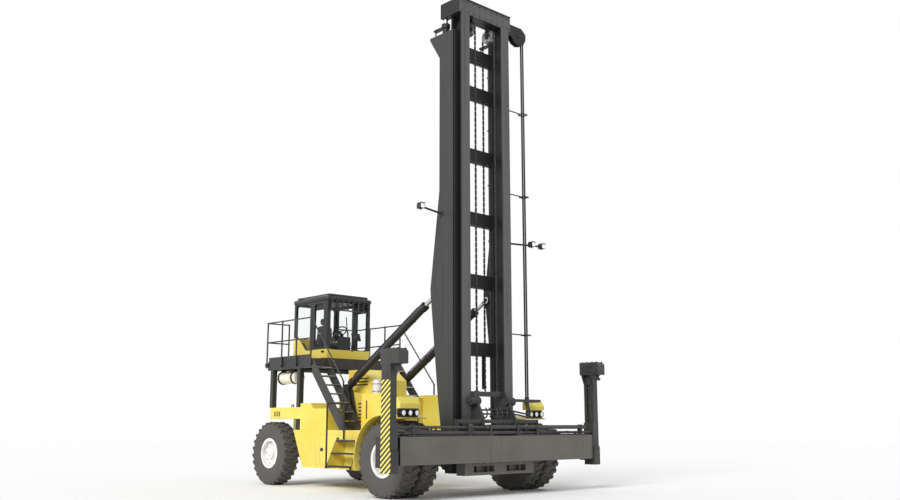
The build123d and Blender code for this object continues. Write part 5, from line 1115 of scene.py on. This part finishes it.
GRILLE_LEVELS = (1.37, 1.96)
LOUVRE_STARTS = (2.76, 2.86, 2.96)
LOUVRE_SLATS = (1.645, 1.68, 1.715)
LOUVRE_LEAN = 25
EYE_X = 0.61
EYE_PLACES = (2.2, 3.35)
EYE_LOOP = ((-0.045, 1.84), (-0.045, 1.92), (0.045, 1.92), (0.045, 1.84))
GRIP_ROWS = ((0.94, 1.32, 1.7895, (0.90, 1.02, 1.14, 1.26)), (0.80, 1.30, 1.9195, (1.56, 1.68, 1.80)))
TOW_PIN_Y = 3.695
TOW_PIN_GRIP = ((-0.02, 1.115), (-0.05, 1.19), (0.05, 1.19), (0.02, 1.115))


def hull_trim():
    screws = Mould()
    for front, back, z, count in HULL_BOLT_ROWS:
        screws.bolts(row((HULL_SIDE, front, z), (HULL_SIDE, back, z), count), ACROSS, HULL_BOLT)
    screws.mirrored().done("hull_bolts", "chassis", "yellow")
    fittings = Mould()
    x, y = HULL_SIDE + 0.006, HULL_DOOR_FRONT - 0.005
    for z in HULL_HINGES:
        fittings.rod((x, y, z - 0.05), (x, y, z + 0.05), 0.010)
        fittings.plate((HULL_SIDE + 0.0025, HULL_DOOR_FRONT, z), (0.007, 0.1, 0.06), 0.002)
    fittings.plate((HULL_SIDE + 0.0055, HULL_LATCH_Y, HULL_LATCH_Z), (0.013, 0.1, 0.07), 0.004, 2)
    fittings.plate((HULL_SIDE + 0.017, HULL_LATCH_Y + 0.0025, HULL_LATCH_Z), (0.01, 0.065, 0.016), 0.003)
    fittings.mirrored().done("hull_door_fittings", "chassis", "plastic")
    caps = Mould()
    caps.turned(TANK_CAP_SHAPE, TANK_CAP, UP, 28, False)
    x, y, z = TANK_CAP
    caps.rod((x, y, z + 0.036), (x, y, z + 0.05), 0.022, segments=6)
    x, y = TANK_STRAP
    caps.block((x - 0.0125, y - 0.015, TANK_STRAP_LOW), (x, y + 0.015, TANK_STRAP_TOP), 0.003)
    caps.bolts([(x, y, z) for z in (TANK_STRAP_LOW + 0.02, TANK_STRAP_TOP - 0.02)], ACROSS, 0.009)
    caps.mirrored().done("tank_caps", "chassis", "dark")


def hood_trim():
    fittings = Mould()
    pin, top = HOOD_SIDE + 0.012, HOOD_LATCH_Z + 0.03
    for y in HOOD_LATCHES:
        fittings.plate((HOOD_SIDE + 0.0075, y, HOOD_LATCH_Z), (0.017, 0.04, 0.08), 0.005, 2)
        fittings.rod((pin, y - 0.026, top), (pin, y + 0.026, top), 0.007, segments=10)
    fittings.mirrored()
    low, high = GRILLE_LEVELS
    for z in GRILLE_LEVELS:
        fittings.plate((0, HOOD_FACE_Y, z), (2 * GRILLE_HALF, 0.014, 0.024), 0.003)
    for x in (-GRILLE_HALF, GRILLE_HALF):
        fittings.plate((x, HOOD_FACE_Y, (low + high) / 2), (0.024, 0.014, high - low), 0.003)
    fittings.done("hood_fittings", "chassis", "plastic")
    core = Mould()
    core.block(*HOOD_CORE)
    for side in (-1, 1):
        core.plate(on_side(side, SIDE_CORE), SIDE_CORE_SIZE)
    core.done("hood_mesh", "chassis", "iron")
    clamp = Mould()
    x, y = CANISTER[:2]
    for z in CANISTER_CLAMPS:
        clamp.ring((x, y, z), UP, 0.114, 0.12, 0.022, 32)
        clamp.plate((x, y - 0.13, z + 0.011), (0.036, 0.03, 0.022), 0.003)
    clamp.done("canister_clamps", "chassis", "steel")


def tail_trim():
    backs = Mould()
    slats = Mould()
    for y in LOUVRE_STARTS:
        backs.block((1.3202, y, 1.62), (1.3235, y + 0.06, 1.74))
        for z in LOUVRE_SLATS:
            slats.plate((1.3405, y + 0.03, z), (0.031, 0.058, 0.008), turn=turn_by(LOUVRE_LEAN, "Y"))
    backs.mirrored().done("louvre_backs", "chassis", "plastic")
    slats.mirrored().done("louvre_slats", "chassis", "plastic")
    eyes = Mould()
    for y in EYE_PLACES:
        eyes.plate((EYE_X, y, 1.8355), (0.1, 0.12, 0.013), 0.004)
        eyes.swept([(EYE_X, y + along, z) for along, z in EYE_LOOP], 0.013)
    eyes.mirrored().done("lifting_eyes", "chassis", "dark")
    grips = Mould()
    for near, far, z, places in GRIP_ROWS:
        for y in places:
            grips.block((near, y - 0.025, z), (far, y + 0.025, z + 0.0035), 0.001)
    grips.mirrored().done("grip_strips", "chassis", "step")
    pin = Mould()
    pin.rod((0, TOW_PIN_Y, 0.96), (0, TOW_PIN_Y, 1.12), 0.030, segments=24, edge=0.004)
    pin.swept([(x, TOW_PIN_Y, z) for x, z in TOW_PIN_GRIP], 0.008)
    pin.done("tow_pin", "chassis", "steel")


# Mast: bolts, pipes and guides

TIE_LEVELS = (3.01, 4.48, 5.86, 7.30, 8.76, 9.66)
TIE_BACK = -2.54
TIE_BOLTS_X = (0.5, 0.585)
LIFT_X = 0.722
LIFT_Y = -2.51
LIFT_PIPE_Y = LIFT_Y + 0.105
LIFT_GLAND_TOP = 10.245
PIPE_CLIPS = (1.6, 2.9, 4.2, 5.5, 6.8, 8.1, 9.4)
MAST_PIVOT = (0.885, -2.76, 0.62)
CHAIN_TAIL_Y = SHEAVE_Y + CHAIN_MIDDLE
ANCHOR_PLATES = ((0.054, 2.535, (0.08, 0.016, 0.73), 0.003), (0.019, 2.2175, (0.072, 0.062, 0.065), 0.004))
ANCHOR_STUD = ((2.11, 2.19, 0.014, 12), (2.14, 2.165, 0.024, 6))
GUIDE_LEVELS = (3.4, 6.6, 8.6)
GUIDE_Y = -2.73
GUIDE_X = 1.5375
GUIDE_FOOT_X = 0.845
GUIDE_ARM_END = 1.46
HEAD_FACE = -3.0425
HEAD_BOLT_LEVELS = (10.66, 10.42)
HEAD_BOLT_HALF = 0.74
HOSE_SHEAVE_FACE = -2.80
MAST_BOLT = 0.014


def mast_trim():
    heads = Mould()
    for z in TIE_LEVELS:
        for x in TIE_BOLTS_X:
            heads.bolts(row((x, TIE_BACK, z - 0.1), (x, TIE_BACK, z + 0.1), 3), ASTERN, MAST_BOLT)
    heads.mirrored()
    for side in (-1, 1):
        heads.nut_ring((side * LIFT_X, LIFT_Y, LIFT_GLAND_TOP), UP, 0.074, 8, 0.010)
        heads.nut_ring(on_side(side, MAST_PIVOT), (side, 0, 0), 0.075, 6, 0.009)
    heads.done("mast_bolts", "outer_mast", "mast")
    lift_pipes()
    chain_anchors()
    hose_guides()
    top = Mould()
    for z in HEAD_BOLT_LEVELS:
        top.bolts(row((-HEAD_BOLT_HALF, HEAD_FACE, z), (HEAD_BOLT_HALF, HEAD_FACE, z), 9), AHEAD, MAST_BOLT)
    x, z = HOSE_SHEAVE[:2]
    top.nut_ring((x, HOSE_SHEAVE_FACE - 0.001, z), AHEAD, 0.14, 8, 0.010)
    top.rod((x, HOSE_SHEAVE_FACE, z), (x, HOSE_SHEAVE_FACE - 0.022, z), 0.05, segments=24, edge=0.004)
    for side in (-1, 1):
        end = (side * 0.395, SHEAVE_Y, SHEAVE_Z)
        top.rod((side * 0.365, SHEAVE_Y, SHEAVE_Z), end, 0.05, segments=20, edge=0.004)
        top.nut_ring(end, (side, 0, 0), 0.03, 4, 0.007)
    top.done("mast_head_bolts", "inner_mast", "mast")


def lift_pipes():
    """Oil pipe down the back of each lift cylinder, with its clips."""
    pipes = Mould()
    line = ((-2.17, 10.17), (-2.17, 9.95), (LIFT_PIPE_Y, 9.85), (LIFT_PIPE_Y, 9.6), (LIFT_PIPE_Y, 5.0),
            (LIFT_PIPE_Y, 1.7), (LIFT_PIPE_Y - 0.01, 1.5), (LIFT_Y + 0.06, 1.44))
    pipes.swept([(LIFT_X, y, z) for y, z in line], 0.016)
    for z in PIPE_CLIPS:
        pipes.plate((LIFT_X, LIFT_PIPE_Y - 0.0055, z), (0.052, 0.059, 0.04), 0.005)
    pipes.mirrored().done("lift_pipes", "outer_mast", "hose", slot="dark_paint")


def chain_anchors():
    """Bracket and threaded stud that hold each chain's tail."""
    anchors = Mould()
    y = CHAIN_TAIL_Y
    for x in (-SHEAVE_X, SHEAVE_X):
        for back, z, size, edge in ANCHOR_PLATES:
            anchors.plate((x, y + back, z), size, edge)
        for low, top, radius, segments in ANCHOR_STUD:
            anchors.rod((x, y, low), (x, y, top), radius, segments=segments)
    anchors.done("chain_anchors", "outer_mast", "mast")


def hose_guides():
    """Arms on the outer mast, each with a square hoop round the falling hoses."""
    guides = Mould()
    for z in GUIDE_LEVELS:
        guides.rod((STIFFENER_SIDE, GUIDE_Y, z), (GUIDE_ARM_END, GUIDE_Y, z), 0.014, segments=12)
        guides.plate((GUIDE_FOOT_X, GUIDE_Y, z), (0.014, 0.08, 0.08), 0.004)
        for side in (-1, 1):
            guides.plate((GUIDE_X, GUIDE_Y + side * 0.079, z), (0.165, 0.012, 0.03), 0.003)
            guides.plate((GUIDE_X + side * 0.0765, GUIDE_Y, z), (0.012, 0.17, 0.03), 0.003)
    guides.done("hose_guides", "outer_mast", "dark")


# Tilt cylinders: side pipes and gland bolts

TILT_X = 0.755
TILT_FOOT = Vector((TILT_X, 0.84, 2.28))
TILT_HEAD = Vector((TILT_X, -2.26, 4.17))
TILT_BARREL_END = 3.2107
TILT_BANDS = (0.6, 1.3, 2.0, 2.7)
TILT_PIPE = (
    (0.32, 0.09), (0.34, 0.122), (0.5, 0.122), (1.6, 0.122), (2.85, 0.122), (3.02, 0.122), (3.04, 0.09))


def tilt_trim():
    way = (TILT_HEAD - TILT_FOOT).normalized()
    lift = Vector((0, way.z, -way.y))
    made = Mould()
    made.swept([TILT_FOOT + way * along + lift * up for along, up in TILT_PIPE], 0.012)
    for along in TILT_BANDS:
        made.ring(TILT_FOOT + way * along, way, 0.0845, 0.0915, 0.03, 28)
    made.nut_ring(TILT_FOOT + way * TILT_BARREL_END, way, 0.076, 8, 0.009)
    made.mirrored().done("tilt_pipes", "tilt_cylinders", "mast")


# Carriage and spreader

DRUM_PLACE = (-3.15, 1.9)
DRUM_END = (0.64, *DRUM_PLACE)
DRUM_PIN_END = (0.66, *DRUM_PLACE)
DRUM_RINGS = (0.42, 0.50, 0.58)
HOSE_LOOPS_X = (-0.30, 0.0, 0.30)
HOSE_LOOP = (
    (-0.10, -3.16, 1.76), (-0.10, -3.22, 1.70), (-0.05, -3.24, 1.56), (0.05, -3.24, 1.56),
    (0.10, -3.22, 1.70), (0.10, -3.16, 1.76))
CHAIN_EYE_Y = -3.008
BEAM_TOP = 1.20
BEAM_FRONT = -3.524
BEAM_BACK = -3.094
BEAM_PIPES = (-3.135, -3.165)
BEAM_PIPE_HALF = 2.62
BEAM_CLIPS = (-2.45, -2.0, -1.55, 1.55, 2.0, 2.45)
BEAM_HOSE_Y = -3.509
BEAM_COLLARS = (2.62, 2.70)
BEAM_RIBS = (-0.62, -0.32, 0.32, 0.62)
BEAM_RIB = (0.024, 0.075, 0.12)
BEAM_BOLT_HALF = 0.95
BEAM_BOLT_PLACE = (-3.3755, 0.655)
LOOSE_HOSES = ((-3.25, 2.58, 1.88), (-3.295, 2.52, 1.85), (-3.34, 2.46, 1.82))
VALVE_BLOCKS = ((-1.95, -1.62), (1.62, 1.86))
VALVE_Y = -3.255
VALVE_TOP = BEAM_TOP + 0.12


def carriage_trim():
    made = Mould()
    for side in (-1, 1):
        face = on_side(side, DRUM_END)
        made.nut_ring(face, (side, 0, 0), 0.055, 6, 0.010)
        made.rod(face, on_side(side, DRUM_PIN_END), 0.032, segments=20, edge=0.004)
        for x in DRUM_RINGS:
            made.ring((side * x, *DRUM_PLACE), ACROSS, 0.084, 0.091, 0.012, 48)
        x = side * SHEAVE_X
        made.plate((x, CHAIN_EYE_Y, 2.084), (0.09, 0.048, 0.068), 0.006, 2)
        made.rod((x, CHAIN_EYE_Y, 1.99), (x, CHAIN_EYE_Y, 2.05), 0.022, segments=6)
    made.done("carriage_fittings", "lift_carriage", "dark")
    hoses = Mould()
    for step, y in enumerate(HOSE_PLACES):
        hoses.rod((HOSE_FALL_X, y, 1.955), (HOSE_FALL_X, y, 2.02), 0.029, segments=6)
        drop = 0.06 * step
        hoses.swept(
            ((HOSE_FALL_X, y, 1.905), (HOSE_FALL_X, y - 0.02, 1.78), (1.50, y - 0.12, 1.68 - drop),
             (1.30, y - 0.25, 1.64 - drop), (1.0, -3.09 - 0.03 * step, 1.66 - drop),
             (0.72, -3.11, 1.70 - drop), (0.49, -3.12, 1.72 - drop)), 0.018)
    for middle in HOSE_LOOPS_X:
        hoses.swept([(middle + x, y, z) for x, y, z in HOSE_LOOP], 0.015)
    hoses.done("carriage_hoses", "lift_carriage", "hose", 60)


def spreader_trim():
    pipes = Mould()
    pipe_z = BEAM_TOP + 0.0115
    for y in BEAM_PIPES:
        pipes.rod((-BEAM_PIPE_HALF, y, pipe_z), (BEAM_PIPE_HALF, y, pipe_z), 0.0105, segments=12)
    for x in BEAM_CLIPS:
        pipes.plate((x, -3.15, BEAM_TOP + 0.0135), (0.04, 0.07, 0.027), 0.004)
    for near, far in VALVE_BLOCKS:
        pipes.block((near, VALVE_Y - 0.055, BEAM_TOP), (far, VALVE_Y + 0.055, VALVE_TOP), 0.008, 2)
        for x, y, z in row((near + 0.05, VALVE_Y, VALVE_TOP), (far - 0.05, VALVE_Y, VALVE_TOP), 3):
            pipes.rod((x, y, z), (x, y, z + 0.05), 0.018, segments=6)
            pipes.rod((x, y, z + 0.05), (x, y, z + 0.08), 0.026, edge=0.004)
    pipes.done("spreader_pipes", "spreader", "dark")
    hoses = Mould()
    z = BEAM_TOP + 0.02
    edge_z = BEAM_TOP + 0.0155
    for side in (-1, 1):
        for y, far, near in LOOSE_HOSES:
            far, near = side * far, side * near
            middle = (far + near) / 2
            hoses.swept(
                ((far, y, z), (far - side * 0.08, y - 0.02, z + 0.03),
                 (middle + side * 0.1, y + 0.05, z + 0.06), (middle - side * 0.1, y - 0.03, z + 0.05),
                 (near + side * 0.1, y + 0.02, z + 0.02), (near, y, z + 0.02)), 0.0165)
        hoses.rod((side * 0.35, BEAM_HOSE_Y, edge_z), (side * 2.6, BEAM_HOSE_Y, edge_z), 0.0153)
    hoses.done("spreader_hoses", "spreader", "hose", 60)
    plates = Mould()
    for x in BEAM_COLLARS:
        plates.block((x, BEAM_FRONT, BEAM_TOP - 0.004), (x + 0.03, BEAM_BACK, BEAM_TOP + 0.006), 0.003)
    plates.mirrored()
    for x in BEAM_RIBS:
        plates.plate((x, -3.3025, 0.55), BEAM_RIB, 0.003)
    ends = (-BEAM_BOLT_HALF, *BEAM_BOLT_PLACE), (BEAM_BOLT_HALF, *BEAM_BOLT_PLACE)
    plates.bolts(row(*ends, 9), AHEAD, 0.011)
    plates.done("spreader_collars", "spreader", "beam")


# End posts: cable, pipe, bolts and twist-lock collar

POST_PIPE_X = 2.905
POST_PIPES = ((-3.39, 0.014, 12), (-3.425, 0.009, 10))
POST_PIPE_LOW = 1.50
POST_PIPE_TOP = 2.29
POST_CLIPS = (1.56, 1.90, 2.24)
POST_CLIP = (0.037, 0.10, 0.03)
POST_CLIP_PLACE = (2.9065, -3.39)
POST_BOX = (0.015, 0.18, 0.14)
POST_BOX_PLACE = (2.7925, -3.41, 2.67)
TWIST_LOCK_COLLAR = (2.9265, -3.64, 2.505)
POST_HEAD_BOLTS = (2.83, 3.0)
POST_FOOT_BOLTS = (2.87, 3.01)
POST_FACE = -3.5505
POST_HEAD_TOP = 2.8155
POST_BOLT = 0.012


def post_trim():
    for name, side in SIDES:
        made = Mould()
        x = side * POST_PIPE_X
        for y, radius, segments in POST_PIPES:
            made.rod((x, y, POST_PIPE_LOW), (x, y, POST_PIPE_TOP), radius, segments=segments)
        for z in POST_CLIPS:
            made.plate((*on_side(side, POST_CLIP_PLACE), z), POST_CLIP, 0.003)
        for x in [side * place for place in POST_HEAD_BOLTS]:
            made.bolts(row((x, -3.70, POST_HEAD_TOP), (x, -3.28, POST_HEAD_TOP), 4), UP, POST_BOLT)
        for x in [side * place for place in POST_FOOT_BOLTS]:
            made.bolts(row((x, POST_FACE, 0.60), (x, POST_FACE, 0.90), 3), AHEAD, POST_BOLT)
        made.ring(on_side(side, TWIST_LOCK_COLLAR), UP, 0.031, 0.05, 0.02, 28)
        made.plate(on_side(side, POST_BOX_PLACE), POST_BOX, 0.004)
        made.done(f"{name}_post_fittings", f"{name}_spreader_arm", "dark")


# Axles: cover rings, hub flanges and the steering cylinder's fittings

COVER_OUT = 0.15
HUB_FLANGE = (1.268, FRONT_AXLE_Y, TYRE_RADIUS)
STEER_GLAND = (0.29, 3.09, 0.692)
STEER_HOSE = ((0.26, 3.09, 0.752), (0.26, 3.09, 0.80), (0.24, 3.15, 0.86), (0.2, 3.2, 0.93))


def axle_trim():
    made = Mould()
    for way in (-1, 1):
        out = (0, way, 0)
        made.ring((0, FRONT_AXLE_Y + way * COVER_OUT, TYRE_RADIUS), out, 0.19, 0.222, 0.02, 40)
        made.nut_ring((0, FRONT_AXLE_Y + way * (COVER_OUT + 0.02), TYRE_RADIUS), out, 0.207, 12, 0.011)
    for side in (-1, 1):
        out = (side, 0, 0)
        made.ring(on_side(side, HUB_FLANGE), out, 0.155, 0.20, 0.028, 40)
        made.ring(on_side(side, STEER_GLAND), out, 0.058, 0.07, 0.04, 28)
        made.swept([on_side(side, place) for place in STEER_HOSE], 0.012)
    made.done("axle_fittings", "chassis", "iron")


def stage():
    """Pale floor, white sky behind it, one soft sun and the camera."""
    grid = bmesh.new()
    bmesh.ops.create_grid(grid, x_segments=1, y_segments=1, size=FLOOR_HALF)
    data = bpy.data.meshes.new("floor")
    grid.to_mesh(data)
    grid.free()
    data.materials.append(Finish("floor_white").surface(FLOOR_WHITE, Roughness=0.9))
    floor = linked("floor", data)
    world = bpy.data.worlds.new("studio")
    sky = Graph(world)
    path = sky.node("ShaderNodeLightPath", output="Is Camera Ray")
    seen = path
    for name in ("Is Glossy Ray", "Is Transmission Ray"):
        seen = path.math("MAXIMUM", seen, Value(sky, path.socket.node.outputs[name]))
    white = (1.0, 1.0, 1.0, 1.0)
    lit = sky.node("ShaderNodeBackground", inputs={"Color": white, "Strength": SKY_STRENGTH})
    plain = sky.node("ShaderNodeBackground", inputs={"Color": white, "Strength": 1.0})
    both = sky.node("ShaderNodeMixShader", inputs={0: seen, 1: lit, 2: plain})
    sky.node("ShaderNodeOutputWorld", inputs={"Surface": both})
    bpy.context.scene.world = world
    light = bpy.data.lights.new("sun", "SUN")
    light.energy = SUN_STRENGTH
    light.angle = SUN_SPREAD
    linked("sun", light).rotation_euler = Vector(SUN_FROM).to_track_quat("Z", "Y").to_euler()
    view = bpy.data.cameras.new("camera")
    view.sensor_width = SENSOR_WIDTH
    view.lens = CAMERA_LENS
    view.clip_end = CAMERA_REACH
    camera = linked("camera", view)
    camera.location = CAMERA_PLACE
    camera.rotation_euler = (pi / 2 + CAMERA_PITCH, 0.0, -CAMERA_YAW)
    bpy.context.scene.camera = camera
    bpy.context.scene.view_settings.view_transform = "Standard"


stage()
wheels()
lift_chains()
lamps()
window_rubbers()
windscreen_wiper()
driver_seat()
cab_controls()
rail_trim()
hull_trim()
hood_trim()
tail_trim()
mast_trim()
tilt_trim()
carriage_trim()
spreader_trim()
post_trim()
axle_trim()
